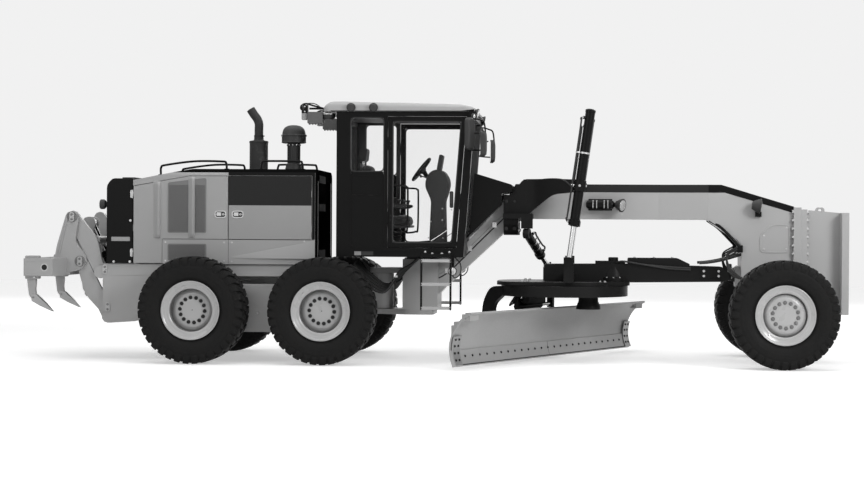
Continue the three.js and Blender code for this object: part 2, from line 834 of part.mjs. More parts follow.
function cab() {
  const outer = sidePlate(cabRing(0), [-cabHalf, cabHalf]);
  const inner = sidePlate(
    [
      [cabRear + cabPost, cabWallTop],
      [cabLean(cabFloor, cabPost), cabWallTop],
      [cabLean(cabTop, cabPost), cabTop - 50],
      [cabRear + cabPost, cabTop - 50],
    ],
    [-cabHalf + 60, cabHalf - 60],
  );
  const sides = both((s) => {
    const through = range(s, cabHalf - 100, cabHalf + 20);
    return join(sidePlate(doorEdge(-doorGap), through), sidePlate(sideWindow(0), through));
  });
  const cowl = sidePlate(
    [
      [-3800, 1440],
      [saddleX[0] - 30, 1905],
      [saddleX[0] - 20, saddleTop + 15],
      [saddleX[0] + 110, saddleTop + 30],
      [saddleX[0] + 110, 2150, 20],
      [cabLean(2290, -30), 2290],
      [cabLean(1555, -30), 1555],
      [-3800, 1500],
    ],
    [-400, 400],
  );
  const boomSlot = join(
    box([boomRear - 300, -3000], [-boomHalf - 8, boomHalf + 8], [1400, boomTop + 8]),
    sidePlate(
      [
        [-3935, 1200],
        [-3935, 1262],
        [boomRear - 72, boomTop - 95],
        [boomRear + 20, boomTop - 95],
        [boomRear + 20, 1200],
      ],
      [-boomHalf - 8, boomHalf + 8],
    ),
  );
  const stance = both((s) =>
    box([-4480, -4180], range(s, boomHalf + 10, 300), [1240 + seat, cabFloor + 10]),
  );
  const leaves = both((s) => {
    const leafX = [cabDoorRear - doorGap - 2, cabDoorRear - seat];
    const leafY = range(s, cabHalf - cabDoorThick, cabHalf);
    return join(...cabHinges.map((z) => box(leafX, leafY, [z - leafHalf, z + leafHalf])));
  });
  return join(
    cut(
      outer,
      inner,
      screenSlab(0, 150, -20),
      endPlate(backLight(0), [cabRear - 20, cabRear + 120]),
      boomSlot,
      ...sides,
    ),
    cut(cowl, boomSlot),
    ...stance,
    ...leaves,
    ...both(ladder),
  );
}

function roof() {
  const side = [
    [cabRear - 170, cabTop + seat],
    [cabRear - 170, cabTop + 60, 30],
    [cabRear - 60, cabTop + roofThick, 60],
    [-4100, cabTop + roofThick, 60],
    [cabFrontHigh + 10, cabTop + 60, 30],
    [cabFrontHigh + 10, cabTop + seat],
  ];
  return sidePlate(side, [-cabHalf - 20, cabHalf + 20]);
}

function cabDoor(side) {
  const lane = range(side, cabHalf - cabDoorThick, cabHalf);
  return cut(sidePlate(doorEdge(0), lane), sidePlate(doorEdge(doorWindow), range(side, 0, 900)));
}

function cabSeat() {
  return join(
    box([-4860, -4620], [-150, 150], [cabWallTop + seat, 1640]),
    sidePlate(
      [
        [-4960, 1630, 30],
        [-4450, 1640, 60],
        [-4440, 1760, 50],
        [-4900, 1750],
        [-4970, 2120],
        [-4985, 2420, 30],
        [-5080, 2420, 30],
        [-5090, 2050, 60],
        [-5040, 1660, 60],
      ],
      [-255, 255],
    ),
    ...both((s) => box([-4900, -4480], range(s, 300, 370), [1860, 1910])),
    box([-4980, -4880], [-340, 340], [1820, 1890]),
  );
}

function controlConsole() {
  const column = pipe([[-4130, 0, 1400], [-4110, 0, 1900], [-4200, 0, 2200], [-4310, 0, 2330]], 55, 6, 8);
  const wheelRing = solid(
    new THREE.TorusGeometry(190, 16, 5, 14)
      .rotateY(Math.PI / 2 - 0.65)
      .translate(-4320, 0, 2340),
  );
  const spoke = box([-14, 14], [-185, 185], [-12, 12]).rotate([0, -53, 0]).translate([-4320, 0, 2340]);
  const hub = rod([-4330, 0, 2350], [-4290, 0, 2310], 45, 10);
  return join(
    box([-4260, -3980], [-170, 170], [cabWallTop + seat, 1420]),
    column,
    hub,
    spoke,
    wheelRing,
  );
}

add("cab", cab(), blackPaint);
add("cab_roof", roof(), paint);
add("windscreen", screenSlab(seat, 34, 22), glass);
add("rear_window", endPlate(backLight(seat), [cabRear + 20, cabRear + 28]), glass);
add("seat", cabSeat(), seatCloth);
add("console", controlConsole(), trim);
for (const side of [-1, 1]) {
  const pane = range(side, cabHalf - 30, cabHalf - 22);
  add(`side_window_${sideName(side)}`, sidePlate(sideWindow(seat), pane), glass);
  add(`cab_door_${sideName(side)}`, cabDoor(side), blackPaint);
  add(`door_glass_${sideName(side)}`, sidePlate(doorEdge(doorWindow + seat), pane), glass);
}

// ---------- front axle ----------
const axleHalf = 500;
const castingBack = leanPivot + 65; // inboard face of a lean casting's body

function frontAxle() {
  const beam = endPlate(
    [
      [-axleHalf, 580, 20],
      [-axleHalf, 700, 20],
      [-200, axlePivotZ + 90, 60],
      [200, axlePivotZ + 90, 60],
      [axleHalf, 700, 20],
      [axleHalf, 580, 20],
      [200, 600, 60],
      [-200, 600, 60],
    ],
    [-100, 100],
  );
  const ends = both((s) => {
    const [from, to] = range(s, axleHalf - 40, leanPivot);
    return join(
      box([-60, 60], [from, to], [leanPivotZ - 52, leanPivotZ + 52]),
      rod([-60, s * leanPivot, leanPivotZ], [60, s * leanPivot, leanPivotZ], 55),
    );
  });
  const pin = rod([headRear + 190 + seat, 0, axlePivotZ], [headFront - 100 - seat, 0, axlePivotZ], 90);
  return join(beam, pin, ...ends);
}

function leanCasting(side) {
  const ear = (x) =>
    join(
      endPlate(
        [
          [side * castingBack, leanPivotZ - 80],
          [side * castingBack, leanPivotZ + 80],
          [side * leanPivot, leanPivotZ + 60],
          [side * leanPivot, leanPivotZ - 60],
        ],
        x,
      ),
      rod([x[0], side * leanPivot, leanPivotZ], [x[1], side * leanPivot, leanPivotZ], 60),
    );
  const drop = endPlate(
    [
      [side * (leanPivot - 50), leanPivotZ],
      [side * (leanPivot - 40), leanPivotZ - leanBarDrop],
      [side * (leanPivot + 40), leanPivotZ - leanBarDrop],
      [side * (leanPivot + 90), leanPivotZ],
    ],
    [66, 116],
  );
  const lug = [leanPivot, leanPivotZ - leanBarDrop];
  return join(
    box([-116, 116], range(side, castingBack, kingpin), [leanPivotZ - 130, leanPivotZ + 130]),
    rod([0, side * kingpin, leanPivotZ - 130], [0, side * kingpin, leanPivotZ + 130], 62, 14),
    ear([66, 116]),
    ear([-116, -66]),
    rod([-116, side * leanPivot, leanPivotZ], [-60 - seat, side * leanPivot, leanPivotZ], 50),
    rod([60 + seat, side * leanPivot, leanPivotZ], [116, side * leanPivot, leanPivotZ], 50),
    drop,
    rod([66, side * lug[0], lug[1]], [122 - seat, side * lug[0], lug[1]], 40),
  );
}

function leanBar() {
  const z = leanPivotZ - leanBarDrop;
  return join(
    box([122, 162], [-leanPivot, leanPivot], [z - 30, z + 30]),
    ...both((s) => rod([122, s * leanPivot, z], [162, s * leanPivot, z], 48)),
  );
}

function steeringKnuckle(side) {
  const spindleSeat = halfTrack + discOut.front - hubBack;
  const ear = (low, high) =>
    join(
      rod([0, side * kingpin, low], [0, side * kingpin, high], 75, 14),
      box([-70, 70], range(side, kingpin, 930), [low, high]),
    );
  const steerArm = flatPlate(
    [
      [60, side * 860],
      [-60, side * 860],
      [-230, side * 770],
      [-230, side * 840],
      [-60, side * 920],
      [60, side * 920],
    ],
    [leanPivotZ - 186, leanPivotZ - 140],
  );
  return join(
    ear(leanPivotZ + 130 + clear, leanPivotZ + 186),
    ear(leanPivotZ - 186, leanPivotZ - 130 - clear),
    rod([0, side * kingpin, leanPivotZ + 130 + seat], [0, side * kingpin, leanPivotZ + 150], 45, 12),
    rod([0, side * kingpin, leanPivotZ - 150], [0, side * kingpin, leanPivotZ - 130 - seat], 45, 12),
    box([-90, 90], range(side, 880, 935), [leanPivotZ - 186, leanPivotZ + 186]),
    rod([0, side * 930, hubHeight], [0, side * (spindleSeat - seat), hubHeight], 130, 16),
    steerArm,
  );
}

add("front_axle", frontAxle(), castIron);
add("lean_bar", leanBar(), castIron);
for (const side of [-1, 1]) {
  add(`lean_casting_${sideName(side)}`, leanCasting(side), castIron);
  add(`steering_knuckle_${sideName(side)}`, steeringKnuckle(side), castIron);
}

// ---------- lift gear ----------
const yokeFace = liftSpread - 65; // inboard of the lift barrels

function liftSaddle() {
  const ring = endPlate(
    [
      [-boomHalf - 60, boomBottom - 200, 50],
      [-boomHalf - 150, boomBottom - 60, 40],
      [-boomHalf - 150, saddleTop],
      [boomHalf + 150, saddleTop],
      [boomHalf + 150, boomBottom - 60, 40],
      [boomHalf + 60, boomBottom - 200, 50],
    ],
    saddleX,
  );
  const hole = box(
    [saddleX[0] - 10, saddleX[1] + 10],
    [-boomHalf - seat, boomHalf + seat],
    [boomBottom - 300, boomTop],
  );
  const bridge = box(
    [saddleX[1] + 60, saddleX[1] + 220],
    [-boomHalf - 60, boomHalf + 60],
    [boomTop + seat, boomTop + 55],
  );
  const reach = [
    [saddleX[0] + 60, boomBottom + 10, 30],
    [saddleX[1] + 60, boomBottom + 10, 60],
    [-2700, 2035, 60],
    [liftTop[0] + 75, liftTop[1] - 60, 40],
    [liftTop[0] + 75, liftTop[1] + 70, 40],
    [-2700, liftTop[1] + 90, 40],
    [saddleX[1] + 220, boomTop + 55, 40],
    [saddleX[1] + 60, boomTop + 55, 40],
    [saddleX[0] + 60, saddleTop - 40],
  ];
  const plan = (s) => [
    [saddleX[0] + 60, s * (boomHalf + 20)],
    [-2900, s * (boomHalf + 20), 80],
    [liftTop[0] + 75, s * (yokeFace - 120), 60],
    [liftTop[0] + 75, s * yokeFace],
    [liftTop[0] - 75, s * yokeFace],
    [-2950, s * (boomHalf + 200), 80],
    [saddleX[0] + 60, s * (boomHalf + 150)],
  ];
  const arm = (s) =>
    sidePlate(reach, range(s, boomHalf + 20, yokeFace)).intersect(flatPlate(plan(s), [1500, 2500]));
  const [px, py, pz] = shiftPivot;
  const lug = join(
    box([px - 70, px + 70], [py - 45, py + 45], [pz + shiftEyeRadius, boomBottom + 60]),
    box([saddleX[0], px + 70], [py - 45, -boomHalf - 20], [boomBottom, boomBottom + 60]),
  );
  return join(cut(join(ring, lug), hole), bridge, ...both(arm));
}

function liftBarrel(side) {
  const shell = barrelShape({
    radius: 58,
    bore: liftRodRadius + seat,
    back: -liftBarrelUp,
    front: liftBarrelDown,
  });
  const pin = rod([0, -side * 50, 0], [0, -side * (liftSpread - yokeFace - seat), 0], 45, 12);
  return join(shell, cut(pin, rod([-200, 0, 0], [200, 0, 0], liftRodRadius + seat, 12)));
}

add("lift_saddle", liftSaddle(), blackPaint);
const liftLength = distance(liftTop, liftEye);
for (const side of [-1, 1]) {
  const y = side * liftSpread;
  const group = aim([liftTop[0], y, liftTop[1]], [liftEye[0], y, liftEye[1]]);
  // Pointing down turns the group's own Y to the right.
  add(`lift_barrel_${sideName(side)}`, liftBarrel(-side), blackPaint, group);
  const rodSize = { radius: liftRodRadius, from: liftLength - 1210, to: liftLength, eye: [46, 34] };
  add(`lift_rod_${sideName(side)}`, rodShape(rodSize), chrome, group);
}

const shiftLength = distance(shiftPivot, shiftEye);
const shiftCyl = aim(shiftPivot, shiftEye);
add(
  "shift_barrel",
  join(
    barrelShape({ radius: 52, bore: shiftRodRadius + seat, back: 20, front: 560 }),
    rod([0, -36, 0], [0, 36, 0], shiftEyeRadius - seat, 24),
  ),
  blackPaint,
  shiftCyl,
);
add(
  "shift_rod",
  join(
    rod([275, 0, 0], [shiftLength - 30, 0, 0], shiftRodRadius, 12),
    solid(new THREE.SphereGeometry(shiftBall, 16, 10).translate(shiftLength, 0, 0)),
  ),
  chrome,
  shiftCyl,
);

// ---------- drawbar and circle ----------
function drawbar() {
  const plateZ = [circleTop + clear, circleTop + 50];
  const plan = [
    [circleX - 820, -260, 60],
    [circleX - 700, -520, 120],
    [circleX + 250, -720, 200],
    [circleX + 800, -300, 120],
    [circleX + 800, 300, 120],
    [circleX + 250, 720, 200],
    [circleX - 700, 520, 120],
    [circleX - 820, 260, 60],
  ];
  const beamSide = [
    [circleX - 250, circleTop + 40],
    [circleX - 250, 1190, 20],
    [-1850, 1200],
    [-640, 1170, 20],
    [ballX - 70, ballZ + 40],
    [ballX - 70, ballZ - 40],
    [-640, 985, 20],
    [-1700, circleTop + 40],
  ];
  const [ex, ez] = liftEye;
  const arms = both((s) =>
    join(
      box([ex - 60, ex + 60], range(s, 100, liftSpread - 45), [circleTop + 45, 1080]),
      box([ex - 60, ex + 60], range(s, liftSpread - 130, liftSpread - 45), [circleTop + 45, ez + 50]),
    ),
  );
  const shoes = [45, 135, 225, 315].map((degrees) => {
    const angle = (degrees * Math.PI) / 180;
    const middle = (circleOuter + circleInner) / 2;
    const [x, y] = [circleX + middle * Math.cos(angle), middle * Math.sin(angle)];
    return rod([x, y, circleTop + seat], [x, y, circleTop + 20], 70, 10);
  });
  const [sx, sy, sz] = shiftEye;
  // Outboard of the rod's eye, which leaves it inboard as the drawbar rises or falls.
  const postY = sy + shiftBall + seat;
  const shiftPost = box([sx - 50, sx + 50], [postY, postY + 40], [circleTop + 45, sz + 45]);
  return join(
    flatPlate(plan, plateZ, 4),
    sidePlate(beamSide, [-115, 115]),
    rod([ballX - 90, 0, ballZ], [ballX, 0, ballZ], 42),
    drawbarBall(0),
    shiftPost,
    ...arms,
    ...shoes,
  );
}
add("drawbar", drawbar(), blackPaint);

// The circle's own frame: X square to the blade, Y along it, 0 at the circle's centre.
const turntable = place(circleX, 0, 0);
turntable.rotation.z = (-bladeAngle * Math.PI) / 180;
const armLanes = (s, thick = armThick) => range(s, armSpread - thick / 2, armSpread + thick / 2);

function circle() {
  const tube = [
    [circleInner, circleBottom],
    [circleOuter, circleBottom],
    [circleOuter, circleTop],
    [circleInner, circleTop],
    [circleInner, circleBottom],
  ];
  const ring = turned(tube, 28).rotate([90, 0, 0]);
  const [px, pz] = tipPivot;
  const arm = [
    [-520, circleTop - 15],
    [-735, circleTop - 15, 90],
    [-850, 710, 110],
    [-860, 430, 140],
    [-640, pz - 75, 120],
    [px + 10, pz - 65, 50],
    [px + 60, pz, 40],
    [px + 10, pz + 45, 40],
    [-560, pz + 72, 90],
    [-700, 450, 100],
    [-700, 690, 90],
    [-560, circleBottom + 5],
  ];
  return join(ring, ...both((s) => sidePlate(arm, armLanes(s), 4)));
}

// Points along the blade's front face, from the cutting edge up.
function bladeArc(offset, from, to, steps) {
  const [rise, height] = bladeRise;
  const chord = Math.hypot(rise, height);
  const sag = Math.sqrt(bladeRadius ** 2 - (chord / 2) ** 2);
  const middle = [
    edgeX + rise / 2 + (sag * height) / chord,
    edgeZ + height / 2 - (sag * rise) / chord,
  ];
  const angle = (x, z) => Math.atan2(z - middle[1], x - middle[0]);
  const start = angle(edgeX, edgeZ) + (angle(edgeX, edgeZ) < 0 ? 2 * Math.PI : 0);
  const end = angle(edgeX + rise, edgeZ + height);
  const radius = bladeRadius + offset;
  return Array.from({ length: steps + 1 }, (_, i) => {
    const at = start + (end - start) * (from + ((to - from) * i) / steps);
    return [middle[0] + radius * Math.cos(at), middle[1] + radius * Math.sin(at)];
  });
}

const bladeSpan = [bladeOffset - bladeLength / 2, bladeOffset + bladeLength / 2];
const railX = [-345, -285];
const lowRail = [edgeZ + railDrop + 160, edgeZ + railDrop + 205];
const highRail = [500, 545];
const barrelAt = [-330, 430]; // side-shift cylinder: forward, up
const barrelBore = 34;
const cheekThick = 34; // plates either side of an arm

function moldboard() {
  const shell = sidePlate([...bladeArc(0, 0, 1, 8), ...bladeArc(bladeThick, 0, 1, 8).reverse()], bladeSpan);
  const edge = sidePlate([...bladeArc(-18, 0, 0.26, 3), ...bladeArc(2, 0, 0.26, 3).reverse()], bladeSpan);
  const rails = [lowRail, highRail].map((z) => {
    const web = [z[0] + 10, z[1] - 10];
    return join(
      box(railX, [bladeSpan[0] + 250, bladeSpan[1] - 250], z),
      box([railX[1] - 5, -190], [bladeSpan[0] + 250, bladeSpan[1] - 250], web),
    );
  });
  const endLug = box([-380, -180], [bladeSpan[0] + 250, bladeSpan[0] + 290], [380, 500]);
  const piston = rod(
    [barrelAt[0], bladeSpan[0] + 270, barrelAt[1]],
    [barrelAt[0], armSpread - 620, barrelAt[1]],
    barrelBore - seat,
  );
  const inside = sidePlate(
    [...bladeArc(-400, 0, 1, 8), ...bladeArc(4, -0.02, 1.02, 8).reverse()],
    [bladeSpan[0] - 1, bladeSpan[1] + 1],
  );
  return join(shell, edge, piston, cut(join(endLug, ...rails), inside));
}

function bladeBracket() {
  const [px, pz] = tipPivot;
  const cheek = (s) => {
    const lane = armLanes(s, armThick + 2 * clear);
    const reachIn = armThick / 2 + clear;
    const reachOut = reachIn + cheekThick;
    const outerLane = range(s, armSpread + reachIn, armSpread + reachOut);
    const innerLane = range(s, armSpread - reachOut, armSpread - reachIn);
    const shape = [
      [px - 60, pz - 50, 40],
      [px + 60, pz - 50, 40],
      [railX[0] - 12, lowRail[0] - 40],
      [railX[0] - 12, highRail[1] + 30],
      [railX[0] - 70, highRail[1] + 30, 30],
      [railX[0] - 90, 360, 60],
    ];
    const pin = (y0, y1) => rod([px, y0, pz], [px, y1, pz], 38, 12);
    const gapIn = range(s, armSpread - armThick / 2 - clear - 4, armSpread - armThick / 2 - seat);
    const gapOut = range(s, armSpread + armThick / 2 + seat, armSpread + armThick / 2 + clear + 4);
    const bridge = box(
      [railX[0] - 70, railX[0] - 12],
      range(s, armSpread - reachOut, armSpread + reachOut),
      [lowRail[1] + 20, lowRail[1] + 70],
    );
    return join(
      sidePlate(shape, outerLane),
      sidePlate(shape, innerLane),
      pin(...gapIn),
      pin(...gapOut),
      bridge,
      shoe(lane, lowRail),
      shoe(lane, highRail),
    );
  };
  const [bx, bz] = barrelAt;
  const along = (y, end, radius) => rod([bx, y, bz], [bx, end, bz], radius);
  const whole = join(along(-700, shiftBarrel - 700, 50), ...both(cheek));
  return cut(whole, along(-710, shiftBarrel - 760, barrelBore));
}

// A shoe holds a rail above, below and behind.
function shoe([y0, y1], [z0, z1]) {
  const lane = [y0 - cheekThick, y1 + cheekThick];
  const block = box([railX[0] - 30, railX[1] + 4], lane, [z0 - 26, z1 + 26]);
  const slot = box([railX[0] - seat, railX[1] + 20], [lane[0] - 5, lane[1] + 5], [z0 - seat, z1 + seat]);
  return cut(block, slot);
}

add("circle", circle(), blackPaint, turntable);
add("blade_bracket", bladeBracket(), castIron, turntable);
add("moldboard", moldboard(), wearSteel, turntable);

export default grader;
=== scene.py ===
import json
import math

import bmesh
import bpy
from mathutils import Matrix, Vector


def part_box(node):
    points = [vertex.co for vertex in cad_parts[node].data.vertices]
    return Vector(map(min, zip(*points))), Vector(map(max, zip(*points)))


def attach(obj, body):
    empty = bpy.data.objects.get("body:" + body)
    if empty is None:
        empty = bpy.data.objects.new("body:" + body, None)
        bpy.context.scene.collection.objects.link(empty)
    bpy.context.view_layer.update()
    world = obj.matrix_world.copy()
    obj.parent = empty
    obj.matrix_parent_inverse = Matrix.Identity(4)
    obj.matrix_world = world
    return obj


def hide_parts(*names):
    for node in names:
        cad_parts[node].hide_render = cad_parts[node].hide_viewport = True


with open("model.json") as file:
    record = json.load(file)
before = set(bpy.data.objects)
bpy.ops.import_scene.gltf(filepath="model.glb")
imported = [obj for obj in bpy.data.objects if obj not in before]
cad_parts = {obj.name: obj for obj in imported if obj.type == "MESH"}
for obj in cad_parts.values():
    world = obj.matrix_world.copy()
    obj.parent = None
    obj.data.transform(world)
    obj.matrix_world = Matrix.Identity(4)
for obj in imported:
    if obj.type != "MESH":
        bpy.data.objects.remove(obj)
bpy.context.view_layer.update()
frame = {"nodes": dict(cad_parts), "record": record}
scene = bpy.context.scene
print("frame loaded:", len(frame["nodes"]), "nodes")


def middle(node):
    low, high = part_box(node)
    return (Vector(low) + Vector(high)) / 2


# x runs forward from the front axle, y to the left, z up from the ground
axleX = middle("rim_front_right").x
hubZ = middle("rim_front_right").z
wheelSpots = {
    "front": middle("rim_front_left"),
    "middle": middle("rim_middle_left"),
    "rear": middle("rim_rear_left"),
}
sides = {"right": -1, "left": 1}


def at(x, y, z):
    return Vector((axleX + x, y, z))


def bodyOf(node):
    groups = frame["record"]["behaviour"]["bodies"]
    return next(body for body, nodes in groups.items() if node in nodes)


cameraView = {
    "spot": (-2.307, -20.986, 1.572),
    "yaw": 3.532,
    "pitch": -0.53,
    "roll": 0.352,
    "lens": 70.88,
    "shift": -0.0556,
}


def makeCamera():
    yaw, pitch, roll = (math.radians(cameraView[key]) for key in ("yaw", "pitch", "roll"))
    ahead = Vector((-math.sin(yaw) * math.cos(pitch), math.cos(yaw) * math.cos(pitch), math.sin(pitch)))
    level = Vector((math.cos(yaw), math.sin(yaw), 0))
    upright = level.cross(ahead)
    right = level * math.cos(roll) + upright * math.sin(roll)
    up = upright * math.cos(roll) - level * math.sin(roll)
    data = bpy.data.cameras.new("camera")
    data.lens = cameraView["lens"]
    data.shift_x = cameraView["shift"]
    camera = bpy.data.objects.new("camera", data)
    scene.collection.objects.link(camera)
    turn = Matrix((right, up, -ahead)).transposed().to_4x4()
    camera.matrix_world = Matrix.Translation(at(*cameraView["spot"])) @ turn
    scene.camera = camera


lamps = {
    # name: (place from the front axle, aimed at, width, height, watts)
    "overhead": ((-4.5, -1.5, 11.0), (-4.5, 0.0, 0.0), 18.0, 10.0, 900),
    "leftSide": ((-13.0, -13.0, 7.0), (-4.6, 0.0, 1.2), 7.0, 6.0, 300),
    "rightSide": ((6.5, -10.0, 7.0), (-3.0, 0.0, 1.2), 4.0, 4.0, 900),
    "farSide": ((-4.5, 14.0, 8.0), (-4.5, 0.0, 1.0), 14.0, 6.0, 450),
}


def makeLamps():
    for name, (spot, aim, width, height, watts) in lamps.items():
        data = bpy.data.lights.new(name, "AREA")
        data.shape = "RECTANGLE"
        data.size, data.size_y, data.energy = width, height, watts
        lamp = bpy.data.objects.new(name, data)
        scene.collection.objects.link(lamp)
        lamp.location = at(*spot)
        lamp.rotation_euler = (at(*aim) - at(*spot)).to_track_quat("-Z", "Y").to_euler()


makeCamera()
makeLamps()
scene.view_settings.view_transform = "Standard"
print("camera and lamps set")


class Wire:
    # a shader value that takes + - * / and turns them into Math nodes
    def __init__(self, finish, socket):
        self.finish = finish
        self.socket = socket

    def maths(self, operation, *values):
        return self.finish.node("ShaderNodeMath", {"operation": operation}, dict(enumerate(values)))

    def __add__(self, other):
        return self.maths("ADD", self, other)

    def __radd__(self, other):
        return self.maths("ADD", other, self)

    def __sub__(self, other):
        return self.maths("SUBTRACT", self, other)

    def __rsub__(self, other):
        return self.maths("SUBTRACT", other, self)

    def __mul__(self, other):
        return self.maths("MULTIPLY", self, other)

    def __rmul__(self, other):
        return self.maths("MULTIPLY", other, self)

    def __truediv__(self, other):
        return self.maths("DIVIDE", self, other)

    def orElse(self, other):
        # the larger of two values
        return self.maths("MAXIMUM", self, other)

    def above(self, level, soft=0.05):
        # 0 below the level, 1 above it, with a soft edge
        return self.finish.node(
            "ShaderNodeMapRange", {"interpolation_type": "SMOOTHSTEP"},
            {"Value": self, "From Min": level - soft, "From Max": level + soft},
        )

    def below(self, level, soft=0.05):
        return 1 - self.above(level, soft)


class Finish:
    def __init__(self, name, **constants):
        self.material = bpy.data.materials.new(name)
        self.material.use_nodes = True
        self.tree = self.material.node_tree
        self.shader = self.tree.nodes["Principled BSDF"]
        for key, value in constants.items():
            self.feed(self.shader.inputs[key.replace("_", " ")], value)

    def feed(self, socket, value):
        if isinstance(value, Wire):
            self.tree.links.new(value.socket, socket)
        elif isinstance(value, tuple) and len(value) == 3 and socket.type == "RGBA":
            socket.default_value = (*value, 1)
        else:
            socket.default_value = value

    def node(self, kind, settings, sockets, out=0):
        made = self.tree.nodes.new(kind)
        for key, value in settings.items():
            if key == "stops":
                ramp = made.color_ramp
                while len(ramp.elements) < len(value):
                    ramp.elements.new(0.5)
                for element, (place, shade) in zip(ramp.elements, value):
                    element.position = place
                    element.color = (shade, shade, shade, 1)
            else:
                setattr(made, key, value)
        for key, value in sockets.items():
            self.feed(made.inputs[key], value)
        return Wire(self, made.outputs[out])

    def place(self, scale=(1, 1, 1), turn=(0, 0, 0), centre=(0, 0, 0)):
        spot = self.node("ShaderNodeTexCoord", {}, {}, 3)
        moved = self.node("ShaderNodeVectorMath", {"operation": "SUBTRACT"}, {0: spot, 1: centre})
        return self.node("ShaderNodeMapping", {}, {"Vector": moved, "Rotation": turn, "Scale": scale})

    def along(self, axis):
        spot = self.node("ShaderNodeTexCoord", {}, {}, 3)
        return self.node("ShaderNodeSeparateXYZ", {}, {0: spot}, "XYZ".index(axis))

    def noise(self, scale, detail=3, rough=0.5, stretch=(1, 1, 1)):
        sockets = {"Vector": self.place(stretch), "Scale": scale, "Detail": detail, "Roughness": rough}
        return self.node("ShaderNodeTexNoise", {}, sockets)

    def cells(self, scale, feature="F1", stretch=(1, 1, 1)):
        sockets = {"Vector": self.place(stretch), "Scale": scale}
        return self.node("ShaderNodeTexVoronoi", {"feature": feature}, sockets)

    def bands(self, scale, direction, distortion=0.0):
        settings = {"wave_type": "BANDS", "bands_direction": direction}
        sockets = {"Vector": self.place(), "Scale": scale, "Distortion": distortion}
        return self.node("ShaderNodeTexWave", settings, sockets)

    def blend(self, mask, first, second):
        # the first colour where the mask is 0, the second where it is 1
        return self.node("ShaderNodeMix", {"data_type": "RGBA"}, {0: mask, 6: first, 7: second}, 2)

    def shade(self, colour, amount):
        # one colour lightened or darkened by a value round 1
        grey = self.node("ShaderNodeCombineXYZ", {}, {0: amount, 1: amount, 2: amount})
        return self.node("ShaderNodeVectorMath", {"operation": "MULTIPLY"}, {0: colour, 1: grey})

    def relief(self, height, depth, strength=1.0):
        sockets = {"Height": height, "Distance": depth, "Strength": strength}
        return self.node("ShaderNodeBump", {}, sockets)

    def wear(self, colour, rough, **more):
        # links what changes over the surface into the shader
        self.feed(self.shader.inputs["Base Color"], colour)
        self.feed(self.shader.inputs["Roughness"], rough)
        for key, value in more.items():
            self.feed(self.shader.inputs[key.replace("_", " ")], value)
        return self.material


def grey(level, warm=0.0):
    return (level * (1 + warm), level, level * (1 - warm))


def coated(name, level, rough=0.38, coat=0.12, dust=0.6, mottle=0.04, black=None, peel=0.25, gloss=0.35):
    # sprayed paint: slight mottling, orange peel, road dust and scuffs low down
    f = Finish(name, Coat_Roughness=0.14, Coat_Weight=coat, Specular_IOR_Level=gloss)
    cloudy = f.noise(1.7, 4) * 2 - 1
    speck = f.noise(240, 2) * 2 - 1
    tint = f.shade(grey(level), 1 + cloudy * mottle + speck * 0.015)
    if black is not None:
        tint = f.blend(f.along("Z").above(black, 0.0015), tint, grey(0.012))
    low = f.along("Z").below(0.7, 0.7) * (0.2 + f.noise(4, 5) * 0.9)
    scuffs = f.noise(30, 6, 0.7, (1, 1, 0.3)).above(0.7, 0.04) * 0.4
    tint = f.blend(low * (0.35 * dust), tint, grey(0.34, 0.03))
    tint = f.blend(scuffs * dust, tint, grey(level * 0.55))
    spread = rough + (f.noise(9, 4) - 0.5) * 0.12 + low * (0.25 * dust)
    return f.wear(tint, spread, Normal=f.relief(f.noise(420, 2), 0.0004, peel))


def casting(name, level, rough=0.55):
    # sand-cast iron under thin paint: pitted, rubbed brighter on high spots
    f = Finish(name, Specular_IOR_Level=0.3)
    pits = f.cells(90)
    rubbed = f.noise(14, 6, 0.65).above(0.62, 0.05)
    tint = f.blend(rubbed * 0.5, f.shade(grey(level), 0.8 + f.noise(3, 5) * 0.4), grey(level * 2.2))
    height = pits * 0.6 + f.noise(60, 5) * 0.8
    return f.wear(tint, rough + rubbed * -0.12, Metallic=0.25, Normal=f.relief(height, 0.0012, 0.5))


def turnedSteel(name, level, rough, metal=1.0, direction="Z", grain=700):
    # machined or plated steel with fine tool lines and a film of handling marks
    f = Finish(name, Metallic=metal)
    lines = f.bands(grain, direction, 0.6)
    film = f.noise(12, 5)
    tint = f.shade(grey(level), 0.93 + film * 0.12)
    return f.wear(tint, rough + film * 0.08, Normal=f.relief(lines, 0.00005, 0.2))


def makeTyreRubber():
    f = Finish("tyreRubber", Specular_IOR_Level=0.12)
    dusty = f.noise(6, 6, 0.6).above(0.52, 0.16)
    tint = f.blend(dusty * 0.3, f.shade(grey(0.008), 0.8 + f.noise(40, 4) * 0.5), grey(0.024, 0.04))
    fine = f.noise(260, 4, 0.6)
    return f.wear(tint, 0.62 + dusty * 0.2 - f.noise(20, 3) * 0.1, Normal=f.relief(fine, 0.0005, 0.45))


def makeHoseRubber():
    f = Finish("hoseRubber", Specular_IOR_Level=0.4)
    weave = f.cells(900)
    tint = f.shade(grey(0.014), 0.8 + f.noise(30, 3) * 0.4)
    return f.wear(tint, 0.45 + f.noise(15, 3) * 0.15, Normal=f.relief(weave, 0.0003, 0.3))


def makePlastic(name, level, rough=0.5, grain=650):
    # moulded plastic with a leather-like grain
    f = Finish(name)
    tint = f.shade(grey(level), 0.85 + f.noise(25, 3) * 0.3)
    return f.wear(tint, rough + f.noise(18, 3) * 0.1, Normal=f.relief(f.cells(grain), 0.0004, 0.35))


def makeGlass():
    # safety glass: nearly clear, with a faint film of dust over the panes
    f = Finish("cabGlass", Specular_IOR_Level=0.2, IOR=1.3)
    film = f.noise(3, 5)
    tint = f.shade(grey(0.12), 0.9 + film * 0.2)
    return f.wear(tint, 0.02 + film * 0.05, Alpha=0.012 + film * 0.016)


